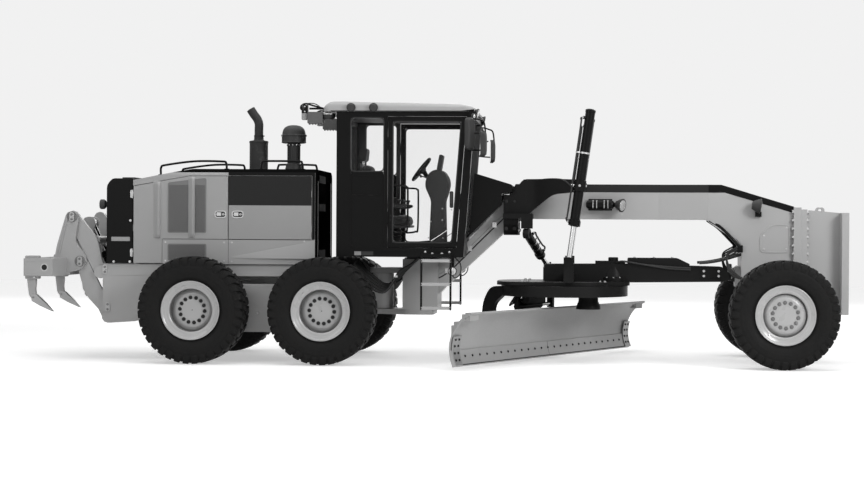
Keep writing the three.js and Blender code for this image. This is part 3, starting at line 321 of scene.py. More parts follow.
def makeMirror():
    f = Finish("mirrorGlass", Metallic=1.0)
    film = f.noise(8, 3)
    return f.wear(f.shade(grey(0.85), 0.95 + film * 0.1), 0.02 + film * 0.04)


def makeLens():
    # moulded lamp lens over a bright reflector
    f = Finish("lampLens", Coat_Weight=1.0, Coat_Roughness=0.03)
    flutes = f.bands(160, "Z")
    tint = f.shade(grey(0.62), 0.8 + flutes * 0.4)
    return f.wear(tint, 0.12 + flutes * 0.08, Metallic=0.7, Normal=f.relief(flutes, 0.001, 0.5))


def makeSeatCloth():
    f = Finish("seatCloth", Sheen_Weight=0.4, Sheen_Roughness=0.5)
    weft = f.bands(520, "Z")
    warp = f.bands(520, "Y")
    weave = weft * warp
    tint = f.shade(grey(0.02), 0.7 + weave * 0.6 + f.noise(8, 4) * 0.3)
    return f.wear(tint, 0.85 + f.noise(10, 2) * 0.1, Normal=f.relief(weave, 0.0006, 0.6))


def makeBladeFace():
    # painted plate scoured along its length: pale, streaked, bare towards the edge
    f = Finish("bladeFace", Coat_Weight=0.15, Coat_Roughness=0.3)
    turn = (0, 0, math.radians(29))
    streaks = f.node(
        "ShaderNodeTexNoise", {},
        {"Vector": f.place((60, 0.7, 60), turn), "Scale": 1.0, "Detail": 6, "Roughness": 0.6},
    )
    bare = f.along("Z").below(0.3, 0.22) * (0.3 + streaks)
    cloudy = f.noise(2.5, 5)
    tint = f.shade(grey(0.36), 0.78 + streaks * 0.25 + cloudy * 0.22)
    tint = f.blend(bare * 0.55, tint, grey(0.42))
    return f.wear(tint, 0.42 + streaks * 0.14, Metallic=bare * 0.5, Normal=f.relief(streaks, 0.0006, 0.35))


paint = coated("bodyPaint", 0.42, coat=0.08)
boomPaint = coated("boomPaint", 0.43, black=2.068, coat=0.03, gloss=0.25)
hoodPaint = coated("hoodPaint", 0.38, dust=0.4, coat=0.06)
framePaint = coated("framePaint", 0.43, rough=0.42, dust=0.9)
blackPaint = coated("blackPaint", 0.005, rough=0.3, coat=0.0, dust=0.04, mottle=0.15, gloss=0.11)
mattBlack = coated("mattBlack", 0.006, rough=0.8, coat=0.0, dust=0.03, mottle=0.15, gloss=0.0)
gearPaint = coated("gearPaint", 0.008, rough=0.42, coat=0.0, dust=0.1, mottle=0.2, gloss=0.11)
rimPaint = coated("rimPaint", 0.43, rough=0.26, coat=0.6, dust=0.3, gloss=0.5)
iron = casting("castIron", 0.035)
darkIron = casting("darkIron", 0.018)
grimyIronAndPocketShade = casting("grimyIronAndPocketShade", 0.05)
castShade = casting("castShade", 0.2, 0.45)
bareShade = casting("bareShade", 0.46, 0.4)
chrome = turnedSteel("chromeRod", 0.72, 0.08)
zinc = turnedSteel("zincSteel", 0.5, 0.3, grain=300)
edgeSteel = turnedSteel("edgeSteel", 0.33, 0.42, 0.85, "X", 240)
bladeFace = makeBladeFace()
tyreRubber = makeTyreRubber()
hoseRubber = makeHoseRubber()
blackPlastic = makePlastic("blackPlastic", 0.013)
trimPlastic = makePlastic("trimPlastic", 0.03, 0.6)
palePlastic = makePlastic("palePlastic", 0.3, 0.45)
cabGlass = makeGlass()
mirrorGlass = makeMirror()
lampLens = makeLens()
seatCloth = makeSeatCloth()
print("finishes made")


class Shape:
    # gathers solids in one mesh; use() picks the finish of what is added next
    def __init__(self, finish):
        self.mesh = bmesh.new()
        self.finishes = []
        self.use(finish)

    def use(self, finish):
        if finish not in self.finishes:
            self.finishes.append(finish)
        self.index = self.finishes.index(finish)
        return self

    def faces(self, points, loops):
        made = [self.mesh.verts.new(p) for p in points]
        for loop in loops:
            face = self.mesh.faces.new([made[i] for i in loop])
            face.material_index = self.index
        return self

    def box(self, low, high):
        (x0, y0, z0), (x1, y1, z1) = low, high
        points = [(x, y, z) for x in (x0, x1) for y in (y0, y1) for z in (z0, z1)]
        loops = [(0, 1, 3, 2), (4, 6, 7, 5), (0, 4, 5, 1), (2, 3, 7, 6), (0, 2, 6, 4), (1, 5, 7, 3)]
        return self.faces(points, loops)

    def rings(self, rings, closed=False, capped=True):
        # skins a list of equal rings of points
        count = len(rings[0])
        points = [p for ring in rings for p in ring]
        steps = len(rings) if closed else len(rings) - 1
        loops = []
        for i in range(steps):
            near, far = i * count, ((i + 1) % len(rings)) * count
            for j in range(count):
                k = (j + 1) % count
                loops.append((near + j, near + k, far + k, far + j))
        if capped and not closed:
            loops.append(tuple(reversed(range(count))))
            loops.append(tuple(range(len(points) - count, len(points))))
        return self.faces(points, loops)

    def rod(self, start, end, radius, corners=24, endRadius=None):
        start, end = Vector(start), Vector(end)
        turn = Vector((0, 0, 1)).rotation_difference((end - start).normalized())
        ends = []
        for centre, size in ((start, radius), (end, radius if endRadius is None else endRadius)):
            spots = [2 * math.pi * i / corners for i in range(corners)]
            ends.append(
                [centre + turn @ Vector((size * math.cos(a), size * math.sin(a), 0)) for a in spots]
            )
        return self.rings(ends)

    def lathe(self, profile, centre=(0, 0, 0), axis=(0, 1, 0), corners=48, closed=False):
        # profile is (radius, distance along the axis)
        turn = Vector((0, 0, 1)).rotation_difference(Vector(axis).normalized())
        centre = Vector(centre)
        rings = []
        for radius, along in profile:
            radius = max(radius, 1e-4)
            spots = [2 * math.pi * i / corners for i in range(corners)]
            flat = [Vector((radius * math.cos(a), radius * math.sin(a), along)) for a in spots]
            rings.append([centre + turn @ p for p in flat])
        return self.rings(rings, closed)

    def collar(self, inner, outer, low, high, spot, axis, corners):
        # a square ring round an axis
        section = oblong(inner, low, outer, high)
        return self.lathe(section, spot, axis, corners, closed=True)

    def plate(self, outline, plane, low, high):
        # an outline drawn in plane "xz", "xy" or "yz", given a thickness across it
        def lift(point, depth):
            a, b = point
            return {"xz": (a, depth, b), "xy": (a, b, depth), "yz": (depth, a, b)}[plane]
        return self.rings([[lift(p, low) for p in outline], [lift(p, high) for p in outline]])

    def tube(self, points, radius, corners=10, steps=6):
        path = smoothPath(points, steps)
        rings = []
        normal = None
        for i, point in enumerate(path):
            ahead = path[min(i + 1, len(path) - 1)] - path[max(i - 1, 0)]
            ahead.normalize()
            if normal is None:
                normal = ahead.orthogonal().normalized()
            normal = (normal - ahead * normal.dot(ahead)).normalized()
            across = ahead.cross(normal)
            spots = [2 * math.pi * k / corners for k in range(corners)]
            rings.append([point + (normal * math.cos(a) + across * math.sin(a)) * radius for a in spots])
        return self.rings(rings)

    def absorb(self, mesh):
        # adds a finished mesh with its own finishes
        first = len(self.mesh.faces)
        self.mesh.from_mesh(mesh)
        self.mesh.faces.ensure_lookup_table()
        kept = self.index
        slots = []
        for finish in mesh.materials:
            self.use(finish)
            slots.append(self.index)
        self.index = kept
        for face in self.mesh.faces[first:]:
            face.material_index = slots[face.material_index] if slots else kept
        return self

    def cadCopy(self, node, joined=True):
        # a CAD node with its doubles merged and, unless its walls are pierced, its flat faces joined
        copy = bmesh.new()
        copy.from_mesh(frame["nodes"][node].data)
        bmesh.ops.remove_doubles(copy, verts=copy.verts, dist=2e-5)
        if joined:
            bmesh.ops.dissolve_limit(copy, angle_limit=0.004, verts=copy.verts, edges=copy.edges)
        for face in copy.faces:
            face.material_index = 0
        mesh = bpy.data.meshes.new(node)
        copy.to_mesh(mesh)
        copy.free()
        mesh.materials.clear()
        mesh.materials.append(self.finishes[self.index])
        return self.absorb(mesh)

    def loop(self, outline, inner, plane, low, high):
        # a flat ring between two outlines with as many points each
        def lift(point, depth):
            a, b = point
            return {"xz": (a, depth, b), "xy": (a, b, depth), "yz": (depth, a, b)}[plane]
        rings = [(outline, low), (outline, high), (inner, high), (inner, low)]
        return self.rings([[lift(p, depth) for p in line] for line, depth in rings], closed=True)

    def repaint(self, finish, test):
        # gives the faces whose middle and normal pass a test another finish
        kept = self.index
        self.use(finish)
        self.mesh.normal_update()
        for face in self.mesh.faces:
            if test(face.calc_center_median() - Vector((axleX, 0, 0)), face.normal):
                face.material_index = self.index
        self.index = kept
        return self

    def moved(self, matrix):
        bmesh.ops.transform(self.mesh, matrix=matrix, verts=self.mesh.verts)
        return self

    def toMesh(self, name):
        bmesh.ops.recalc_face_normals(self.mesh, faces=self.mesh.faces)
        mesh = bpy.data.meshes.new(name)
        self.mesh.to_mesh(mesh)
        self.mesh.free()
        for finish in self.finishes:
            mesh.materials.append(finish)
        return mesh

    def piece(self, name, body, slot, bevel=0.0, replaces=(), segments=2, angle=38):
        return finishPiece(self.toMesh(name), name, body, bevel, replaces, segments, angle)


toRow = Matrix.Translation((axleX, 0, 0))


def build(shape, name, body, slot, bevel=0.0, replaces=(), **more):
    # finishes a shape that was drawn from the front axle
    return shape.moved(toRow).piece(name, body, slot, bevel, replaces, **more)


def smoothPath(points, steps):
    # Catmull-Rom curve through the points
    points = [Vector(p) for p in points]
    if len(points) == 2:
        return points
    ends = [points[0] * 2 - points[1]] + points + [points[-1] * 2 - points[-2]]
    path = []
    for i in range(1, len(ends) - 2):
        a, b, c, d = ends[i - 1 : i + 3]
        for k in range(steps):
            t = k / steps
            path.append(
                0.5 * (
                    2 * b + (c - a) * t + (
                        2 * a - 5 * b + 4 * c - d
                    ) * t**2 + (3 * b - a - 3 * c + d) * t**3
                )
            )
    return path + [points[-1]]


def rounded(points, radius, steps=3):
    # rounds the corners of an outline with arcs that cut back by the radius
    points = [Vector(p) for p in points]
    result = []
    for i, corner in enumerate(points):
        before = points[i - 1] - corner
        after = points[(i + 1) % len(points)] - corner
        reach = min(radius, before.length * 0.45, after.length * 0.45)
        start, end = corner + before.normalized() * reach, corner + after.normalized() * reach
        for k in range(steps + 1):
            t = k / steps
            result.append(tuple(start * (1 - t) ** 2 + corner * 2 * t * (1 - t) + end * t**2))
    return result


def oblong(x0, z0, x1, z1):
    return [(x0, z0), (x1, z0), (x1, z1), (x0, z1)]


def roundedBox(x0, z0, x1, z1, radius, steps=4):
    return rounded(oblong(x0, z0, x1, z1), radius, steps)


def evaluated(holder):
    # the object's mesh with its modifiers, as a plain mesh
    bpy.context.view_layer.update()
    solid = bpy.data.meshes.new_from_object(holder.evaluated_get(bpy.context.evaluated_depsgraph_get()))
    return solid


def finishPiece(mesh, name, body, bevel=0.0, replaces=(), segments=2, angle=38):
    holder = bpy.data.objects.new(name, mesh)
    scene.collection.objects.link(holder)
    mesh.shade_smooth()
    if bevel:
        edge = holder.modifiers.new("edges", "BEVEL")
        edge.width = bevel
        edge.segments = segments
        edge.limit_method = "ANGLE"
        edge.angle_limit = math.radians(angle)
        edge.miter_outer = "MITER_ARC"
        solid = evaluated(holder)
        holder.modifiers.clear()
        holder.data = solid
        angle = 50
    holder.data.set_sharp_from_angle(angle=math.radians(angle))
    weigh = holder.modifiers.new("weights", "WEIGHTED_NORMAL")
    weigh.keep_sharp = True
    holder.data, spent = evaluated(holder), holder.data
    holder.modifiers.clear()
    holder.data.name = name
    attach(holder, body)
    if replaces:
        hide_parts(*replaces)
    return holder


def makeStage():
    # a pale floor that keeps shadows; the camera, gloss and glass see it nearly white
    f = Finish("studioFloor")
    camera, gloss, glass = (f.node("ShaderNodeLightPath", {}, {}, out) for out in (0, 3, 6))
    seen = camera.orElse(gloss.orElse(glass))
    f.feed(f.shader.inputs["Emission Strength"], 1.0)
    across, along = f.along("X") + 0.4, f.along("Y")
    squared = across * across * 0.35 + along * along
    away = squared.maths("SQRT", squared)
    glow = f.blend(
        away.above(11.0, 5.0), grey(0.42), f.blend(away.above(17.0, 4.0), grey(0.85), grey(0.62))
    )
    f.wear(grey(0.82), 0.9, Emission_Color=f.blend(seen, grey(0.0), glow))
    half, back = 60.0, 30.0
    floor = Shape(f.material).faces(
        [at(-half, -half, 0), at(half, -half, 0), at(half, back, 0), at(-half, back, 0)], [(0, 1, 2, 3)]
    )
    stage = bpy.data.objects.new("floor", floor.toMesh("floor"))
    scene.collection.objects.link(stage)
    world = bpy.data.worlds.new("studio")
    world.use_nodes = True
    scene.world = world
    tree = world.node_tree
    path = tree.nodes.new("ShaderNodeLightPath")
    seen = path.outputs["Is Camera Ray"]
    for name in ("Is Glossy Ray", "Is Transmission Ray"):
        both = tree.nodes.new("ShaderNodeMath")
        both.operation = "MAXIMUM"
        tree.links.new(seen, both.inputs[0])
        tree.links.new(path.outputs[name], both.inputs[1])
        seen = both.outputs[0]
    mix = tree.nodes.new("ShaderNodeMix")
    mix.data_type = "RGBA"
    tree.links.new(seen, mix.inputs[0])
    # inputs 6 and 7 are the two colours: what lights the part, and what the camera sees
    mix.inputs[6].default_value = (0.22, 0.22, 0.22, 1)
    mix.inputs[7].default_value = (0.88, 0.88, 0.88, 1)
    tree.links.new(mix.outputs[2], tree.nodes["Background"].inputs["Color"])


makeStage()


def newTree(name, inputs):
    tree = bpy.data.node_groups.new(name, "GeometryNodeTree")
    tree.interface.new_socket("Geometry", in_out="INPUT", socket_type="NodeSocketGeometry")
    for key, kind in inputs:
        tree.interface.new_socket(key, in_out="INPUT", socket_type="NodeSocket" + kind)
    tree.interface.new_socket("Geometry", in_out="OUTPUT", socket_type="NodeSocketGeometry")
    return tree


def addNode(tree, kind, links=None, **settings):
    made = tree.nodes.new(kind)
    for key, value in settings.items():
        setattr(made, key, value)
    for key, value in (links or {}).items():
        if isinstance(value, bpy.types.NodeSocket):
            tree.links.new(value, made.inputs[key])
        else:
            made.inputs[key].default_value = value
    return made


def closeTree(tree, instances, source, after=None):
    real = addNode(tree, "GeometryNodeRealizeInstances", {"Geometry": instances})
    done = real.outputs[0]
    if after:
        done = addNode(tree, "GeometryNodeTransform", {"Geometry": done, "Translation": after}).outputs[0]
    painted = addNode(
        tree, "GeometryNodeSetMaterial", {"Geometry": done, "Material": source.outputs["Finish"]}
    )
    addNode(tree, "NodeGroupOutput", {0: painted.outputs[0]})
    return tree


def makeTurnedCopies():
    # Count copies turned about Axis through Centre, spread over Sweep
    inputs = [
        ("Count", "Int"), ("Sweep", "Float"), ("Centre", "Vector"), ("Axis", "Vector"),
        ("Finish", "Material"),
    ]
    tree = newTree("turnedCopies", inputs)
    source = addNode(tree, "NodeGroupInput")
    back = addNode(tree, "ShaderNodeVectorMath", {0: source.outputs["Centre"], 3: -1.0}, operation="SCALE")
    moved = addNode(
        tree, "GeometryNodeTransform",
        {"Geometry": source.outputs["Geometry"], "Translation": back.outputs[0]},
    )
    spots = addNode(tree, "GeometryNodeMeshLine", {"Count": source.outputs["Count"], "Offset": (0, 0, 0)})
    step = addNode(
        tree, "ShaderNodeMath", {0: source.outputs["Sweep"], 1: source.outputs["Count"]}, operation="DIVIDE"
    )
    number = addNode(tree, "GeometryNodeInputIndex")
    angle = addNode(
        tree, "ShaderNodeMath", {0: number.outputs[0], 1: step.outputs[0]}, operation="MULTIPLY"
    )
    turn = addNode(
        tree, "FunctionNodeAxisAngleToRotation", {"Axis": source.outputs["Axis"], "Angle": angle.outputs[0]}
    )
    copies = addNode(
        tree, "GeometryNodeInstanceOnPoints",
        {"Points": spots.outputs[0], "Instance": moved.outputs[0], "Rotation": turn.outputs[0]},
    )
    return closeTree(tree, copies.outputs[0], source, source.outputs["Centre"])


def makeRowCopies():
    # Count copies, each one Step on from the last
    tree = newTree("rowCopies", [("Count", "Int"), ("Step", "Vector"), ("Finish", "Material")])
    source = addNode(tree, "NodeGroupInput")
    spots = addNode(
        tree, "GeometryNodeMeshLine", {"Count": source.outputs["Count"], "Offset": source.outputs["Step"]}
    )
    copies = addNode(
        tree, "GeometryNodeInstanceOnPoints",
        {"Points": spots.outputs[0], "Instance": source.outputs["Geometry"]},
    )
    return closeTree(tree, copies.outputs[0], source)


turnedCopies = makeTurnedCopies()
rowCopies = makeRowCopies()


def socketId(tree, name):
    sockets = tree.interface.items_tree
    return next(s.identifier for s in sockets if s.in_out == "INPUT" and s.name == name)


def repeated(tree, shape, bevel=0.0, **values):
    # a shape repeated by one of the trees, as a plain mesh
    finish = shape.finishes[0]
    holder = bpy.data.objects.new("pattern", shape.toMesh("pattern"))
    scene.collection.objects.link(holder)
    if bevel:
        edge = holder.modifiers.new("edges", "BEVEL")
        edge.width = bevel
        edge.segments = 1
        edge.limit_method = "ANGLE"
    maker = holder.modifiers.new("copies", "NODES")
    maker.node_group = tree
    for key, value in {**values, "Finish": finish}.items():
        maker[socketId(tree, key)] = value
    mesh = evaluated(holder)
    bpy.data.objects.remove(holder)
    return mesh


def turned(shape, count, centre, axis, sweep=2 * math.pi, bevel=0.0):
    values = {"Count": count, "Sweep": sweep, "Centre": tuple(centre), "Axis": tuple(axis)}
    return repeated(turnedCopies, shape, bevel, **values)


def inRow(shape, count, step, bevel=0.0):
    return repeated(rowCopies, shape, bevel, Count=count, Step=tuple(step))


# bolts are gathered for each body and made into one piece at the end
boltTypes = {
    "tiny": {"head": 0.008, "rise": 0.005, "washer": 0.0115},
    "small": {"head": 0.011, "rise": 0.009, "washer": 0.015},
    "medium": {"head": 0.017, "rise": 0.013, "washer": 0.023},
    "large": {"head": 0.024, "rise": 0.019, "washer": 0.032},
}
boltBins = {}


def boltBin(body, finish):
    return boltBins.setdefault(body, Shape(finish))


def boltHead(spot, direction, kind, finish):
    size = boltTypes[kind]
    spot, direction = Vector(spot), Vector(direction).normalized()
    head = Shape(finish)
    head.rod(spot - direction * 0.002, spot + direction * 0.003, size["washer"], 16)
    head.rod(spot + direction * 0.002, spot + direction * size["rise"], size["head"], 6)
    crown = spot + direction * size["rise"]
    head.rod(crown, crown + direction * 0.002, size["head"] * 0.85, 6, size["head"] * 0.6)
    return head


def boltRow(body, start, end, count, direction, kind="small", finish=None):
    finish = finish or zinc
    step = (Vector(end) - Vector(start)) / max(count - 1, 1)
    row = inRow(boltHead(start, direction, kind, finish), count, step)
    boltBin(body, finish).absorb(row)


def bolt(body, spot, direction, kind="small", finish=None):
    boltRow(body, spot, spot, 1, direction, kind, finish)


def boltRing(body, centre, axis, radius, count, kind="small", finish=None, start=0.0):
    finish = finish or zinc
    axis = Vector(axis).normalized()
    turn = Vector((0, 0, 1)).rotation_difference(axis)
    first = Vector(centre) + turn @ Vector((radius * math.cos(start), radius * math.sin(start), 0))
    boltBin(body, finish).absorb(turned(boltHead(first, axis, kind, finish), count, centre, axis))


tyreSize = {
    "tread": hubZ,  # reach from the hub to the ground
    "grooveDepth": 0.019,
    "lugs": 36,
    "lugEdge": 0.003,
}
rimSize = {
    "lip": 0.348,
    "mouth": 0.254,
    "bolts": 14,
    "boltRing": 0.148,
    "pocket": 0.0235,
    "disc": {"front": 0.13, "rear": 0.06},  # outboard face of the disc from the tyre's middle
}


def tyreCarcass():
    groove = tyreSize["tread"] - tyreSize["grooveDepth"]
    half = [
        (0.334, 0.15), (0.344, 0.166), (0.362, 0.1725), (0.372, 0.178), (0.384, 0.194), (0.405, 0.2045),
        (0.43, 0.2105), (0.452, 0.2145), (0.455, 0.2165), (0.459, 0.2165), (0.462, 0.2155), (0.49, 0.2175),
        (0.512, 0.2175), (0.516, 0.215), (0.524, 0.2135), (0.545, 0.2115), (0.57, 0.207), (0.59, 0.1985),
        (0.604, 0.185), (groove - 0.003, 0.155), (groove, 0.11), (groove, 0.04),
    ]
    profile = half + [(r, -y) for r, y in reversed(half)]
    return Shape(tyreRubber).lathe(profile, corners=96, closed=True)


def tyreLug(side):
    # one bar of the tread, from the middle over the shoulder and down the side wall
    top = tyreSize["tread"]
    floor = top - tyreSize["grooveDepth"] - 0.004
    stations = [
        ((floor, -0.014), (top - 0.0015, -0.011), 0.02, -0.004),
        ((floor, 0.04), (top - 0.0002, 0.04), 0.028, 0.006),
        ((floor, 0.1), (top - 0.0002, 0.1), 0.033, 0.022),
        ((floor - 0.004, 0.15), (top - 0.002, 0.166), 0.036, 0.04),
        ((0.598, 0.18), (0.622, 0.2), 0.037, 0.05), ((0.58, 0.199), (0.598, 0.216), 0.037, 0.055),
        ((0.55, 0.208), (0.564, 0.219), 0.035, 0.058), ((0.528, 0.21), (0.536, 0.2175), 0.033, 0.059),
    ]
    rings = []
    for base, crown, half, lean in stations:
        corners = [(base, -half - 0.004), (crown, -half), (crown, half), (base, half + 0.004)]
        ring = []
        for (reach, across), along in corners:
            angle = (lean + along) / top
            ring.append(Vector((reach * math.sin(angle), across * side, reach * math.cos(angle))))
        rings.append(ring)
    return Shape(tyreRubber).rings(rings)


def makeTyreMesh():
    count = tyreSize["lugs"]
    tyre = tyreCarcass()
    for side in (1, -1):
        lugs = tyreLug(side)
        if side < 0:
            lugs.moved(Matrix.Rotation(math.pi / count, 4, "Y"))
        tyre.absorb(turned(lugs, count, (0, 0, 0), (0, 1, 0), bevel=tyreSize["lugEdge"]))
    return tyre.toMesh("tyrePattern")


def makeRimMesh(kind):
    # outboard side towards +y: stepped lip, deep well and a dished disc with its nuts
    disc, lip, mouth = rimSize["disc"][kind], rimSize["lip"], rimSize["mouth"]
    crown = disc + (0.03 if kind == "front" else 0.012)
    barrel = [
        (lip, 0.189), (lip - 0.003, 0.181), (0.336, 0.174), (0.333, 0.15), (0.333, -0.15), (0.336, -0.174),
        (lip, -0.184), (lip, -0.192), (0.338, -0.194), (0.318, -0.184), (0.306, -0.15), (0.27, -0.12),
        (mouth + 0.012, disc - 0.06), (mouth + 0.006, disc - 0.02), (mouth + 0.004, 0.12), (mouth, 0.14),
        (mouth + 0.001, 0.152), (mouth + 0.01, 0.16), (mouth + 0.022, 0.164), (mouth + 0.034, 0.163),
        (mouth + 0.04, 0.166), (mouth + 0.052, 0.174), (mouth + 0.064, 0.176), (mouth + 0.07, 0.181),
        (lip - 0.014, 0.19), (lip - 0.006, 0.192),
    ]
    rim = Shape(rimPaint).lathe(barrel, corners=96, closed=True)
    # a darker sleeve lining the well: painted shade on the well's inner wall
    wall = [
        (mouth + 0.003, 0.144), (mouth - 0.001, 0.142), (mouth - 0.001, disc - 0.01),
        (mouth + 0.003, disc - 0.01),
    ]
    rim.use(castShade).lathe(wall, corners=96, closed=True)
    rim.use(rimPaint)
    fall = 0.064 if kind == "front" else 0.042
    dish = [
        (0.0, crown), (0.11, crown), (0.118, crown - 0.003), (0.126, crown - 0.004), (0.186, crown - 0.005),
        (0.2, crown - 0.009), (0.216, crown - fall * 0.3), (0.236, crown - fall * 0.62),
        (mouth - 0.004, crown - fall), (mouth + 0.008, crown - fall - 0.016), (0.2, disc - 0.038),
        (0.0, disc - 0.038),
    ]
    rim.lathe(dish, corners=96)
    count, ring, face = rimSize["bolts"], rimSize["boltRing"], crown - 0.0045
    pocket = rimSize["pocket"]
    seatRing = Shape(rimPaint)
    seatRing.lathe([
        (pocket, face), (pocket + 0.003, face + 0.002), (pocket + 0.006, face), (pocket, face - 0.003)
    ], (0, 0, ring), closed=True, corners=20)
    rim.absorb(turned(seatRing, count, (0, 0, 0), (0, 1, 0)))
    # dark floor in each nut pocket: painted shade in the recess
    floor = Shape(grimyIronAndPocketShade if kind == "rear" else castShade)
    floor.lathe(oblong(0.0, face + 0.0006, pocket, face - 0.004), (0, 0, ring), corners=20)
    rim.absorb(turned(floor, count, (0, 0, 0), (0, 1, 0)))
    nut = Shape(darkIron if kind == "rear" else castShade)
    nut.rod((0, face, ring), (0, face + 0.012, ring), 0.0175, 6)
    nut.rod((0, face + 0.012, ring), (0, face + 0.018, ring), 0.0085, 12)
    rim.absorb(turned(nut, count, (0, 0, 0), (0, 1, 0), bevel=0.0015))
    rim.use(darkIron if kind == "rear" else rimPaint)
    rim.lathe([
        (0.0, crown - 0.001), (0.006, crown - 0.001), (0.006, crown + 0.0012), (0.0, crown + 0.0014)
    ], corners=16)
    rim.use(hoseRubber).rod((0.3, 0.158, 0.02), (0.288, 0.186, 0.022), 0.005, 10)
    rim.use(zinc).rod((0.289, 0.184, 0.022), (0.286, 0.191, 0.0225), 0.0065, 10)
    return rim.toMesh("rimPattern" + kind)


def copyPlaced(mesh, matrix):
    placed = mesh.copy()
    placed.transform(matrix)
    return placed


tyrePattern = makeTyreMesh()
rimPatterns = {kind: makeRimMesh(kind) for kind in ("front", "rear")}
for sideName, side in sides.items():
    for spot, centre in wheelSpots.items():
        body = f"wheel_{spot}_{sideName}"
        hub = Matrix.Translation((centre.x, side * centre.y, hubZ))
        if side < 0:
            hub = hub @ Matrix.Rotation(math.pi, 4, "Z")
        spin = Matrix.Rotation(0.31 * (centre.x + side), 4, "Y")
        tyreName, rimName = f"tyre_{spot}_{sideName}", f"rim_{spot}_{sideName}"
        tyre = copyPlaced(tyrePattern, hub @ spin)
        finishPiece(tyre, "treaded_" + tyreName, body, replaces=[tyreName], angle=34)
        rim = copyPlaced(rimPatterns["front" if spot == "front" else "rear"], hub @ spin)
        finishPiece(rim, "dished_" + rimName, body, replaces=[rimName], angle=34)
print("wheels made")


hoodSize = {
    "half": 0.69,
    "meshWindow": (-7.347, 1.54, -6.872, 2.15, 2.208),
    "lowMesh": (-7.345, 1.205, -6.869, 1.412),
    "ribs": [(-7.52, -7.43, 1.475, 2.165), (-7.095, -7.012, 1.48, 2.225)],
    "ribRise": 0.038,
    "holePitch": 0.0105,
    "holeRadius": 0.0036,
    "bandLevel": 1.879,
    "latches": {"rear": -6.7, "front": -6.49},
    "latchLevel": 1.77,
}


def holeField(x0, z0, x1, z1, y, side):
    # rows of round perforations, every other row shifted by half a pitch; each hole is a thin dark disc,
    # painted shade inside the hole
    pitch, radius = hoodSize["holePitch"], hoodSize["holeRadius"]
    rows = int((z1 - z0) / (pitch * 0.87))
    count = int((x1 - x0) / pitch)
    field = Shape(holeShadeAndSeams)
    for odd in (0, 1):
        hole = Shape(holeShadeAndSeams).rod(
            (x0 + odd * pitch / 2, y, z0), (x0 + odd * pitch / 2, y + side * 0.0004, z0), radius, 6
        )
        row = Shape(holeShadeAndSeams).absorb(inRow(hole, count, (pitch, 0, 0)))
        row.moved(Matrix.Translation((0, 0, odd * pitch * 0.87)))
        field.absorb(inRow(row, rows // 2, (0, 0, pitch * 1.74)))
    return field.toMesh("holes")


def pressedRib(shape, x0, x1, z0, z1, side, rise):
    # a tall pressing: a slow slope on one side, a steep one on the other, rounded ends
    wide = x1 - x0
    section = [
        (0.0, -0.002), (0.0, 0.0), (0.22, 0.3), (0.48, 0.72), (0.66, 0.97), (0.8, 1.0), (0.93, 0.72),
        (1.0, 0.0), (1.0, -0.002),
    ]
    rings = []
    for share, height in (
        (0.0, 0.02), (0.012, 0.45), (0.03, 0.75), (0.06, 0.95), (0.09, 1.0), (0.91, 1.0), (0.95, 0.9),
        (0.98, 0.6), (1.0, 0.02),
    ):
        z = z0 + (z1 - z0) * share
        ring = []
        for across, up in section:
            out = up if up < 0 else up * rise * height
            ring.append((x0 + across * wide, side * (hoodSize["half"] + out), z))
        rings.append(ring)
    return shape.rings(rings)


def latch(shape, x, z, side):
    # paddle latch: bright oblong surround, dark pan, paddle and lock barrel
    y = side * hoodSize["half"]
    outer = roundedBox(x - 0.072, z - 0.044, x + 0.072, z + 0.044, 0.04, 6)
    inner = roundedBox(x - 0.06, z - 0.033, x + 0.06, z + 0.033, 0.03, 6)
    shape.use(zinc).loop(outer, inner, "xz", y, y + side * 0.006)
    shape.use(darkIron).plate(inner, "xz", y, y + side * 0.0015)
    shape.use(zinc).plate(
        roundedBox(x - 0.046, z - 0.02, x + 0.01, z + 0.024, 0.008), "xz", y, y + side * 0.007
    )
    shape.rod((x + 0.034, y, z), (x + 0.034, y + side * 0.008, z), 0.014, 20)
    shape.use(darkIron).box((x + 0.031, y, z - 0.009), (x + 0.037, y + side * 0.0088, z + 0.009))
    for dx in (-0.054, 0.054):
        shape.use(zinc).rod((x + dx, y, z), (x + dx, y + side * 0.0075, z), 0.005, 10)
    return shape


def hoodDoors():
    half = hoodSize["half"]
    x0, z0, x1, lowTop, highTop = hoodSize["meshWindow"]
    for name, side in sides.items():
        y = side * half
        node = "hood_rear_door_" + name
        Shape(hoodPaint).cadCopy(node).piece(node + "_panel", node, "body_paint", 0.004, replaces=[node])
        window = Shape(meshPaint)
        opening = rounded([(x0, z0), (x1, z0), (x1, highTop), (x0, lowTop)], 0.03, 4)
        rim = rounded([
            (x0 - 0.011, z0 - 0.011), (x1 + 0.011, z0 - 0.011), (x1 + 0.011, highTop + 0.011),
            (x0 - 0.011, lowTop + 0.011),
        ], 0.036, 4)
        window.plate(opening, "xz", y, y + side * 0.0012)
        window.use(hoodPaint).loop(rim, opening, "xz", y, y + side * 0.004)
        for rx0, rx1, rz0, rz1 in hoodSize["ribs"]:
            pressedRib(window, rx0, rx1, rz0, rz1, side, hoodSize["ribRise"])
        latch(window, hoodSize["latches"]["rear"], hoodSize["latchLevel"], side)
        window.absorb(holeField(x0 + 0.018, z0 + 0.02, x1 - 0.012, lowTop - 0.015, y + side * 0.0012, side))
        build(window, "hood_rear_door_fittings_" + name, node, "body_paint")
        node = "hood_front_door_" + name
        Shape(doorPaint).cadCopy(node).piece(node + "_panel", node, "body_paint", 0.004, replaces=[node])
        build(
            latch(Shape(zinc), hoodSize["latches"]["front"], hoodSize["latchLevel"], side),
            "hood_front_door_latch_" + name, node, "zinc_steel",
        )


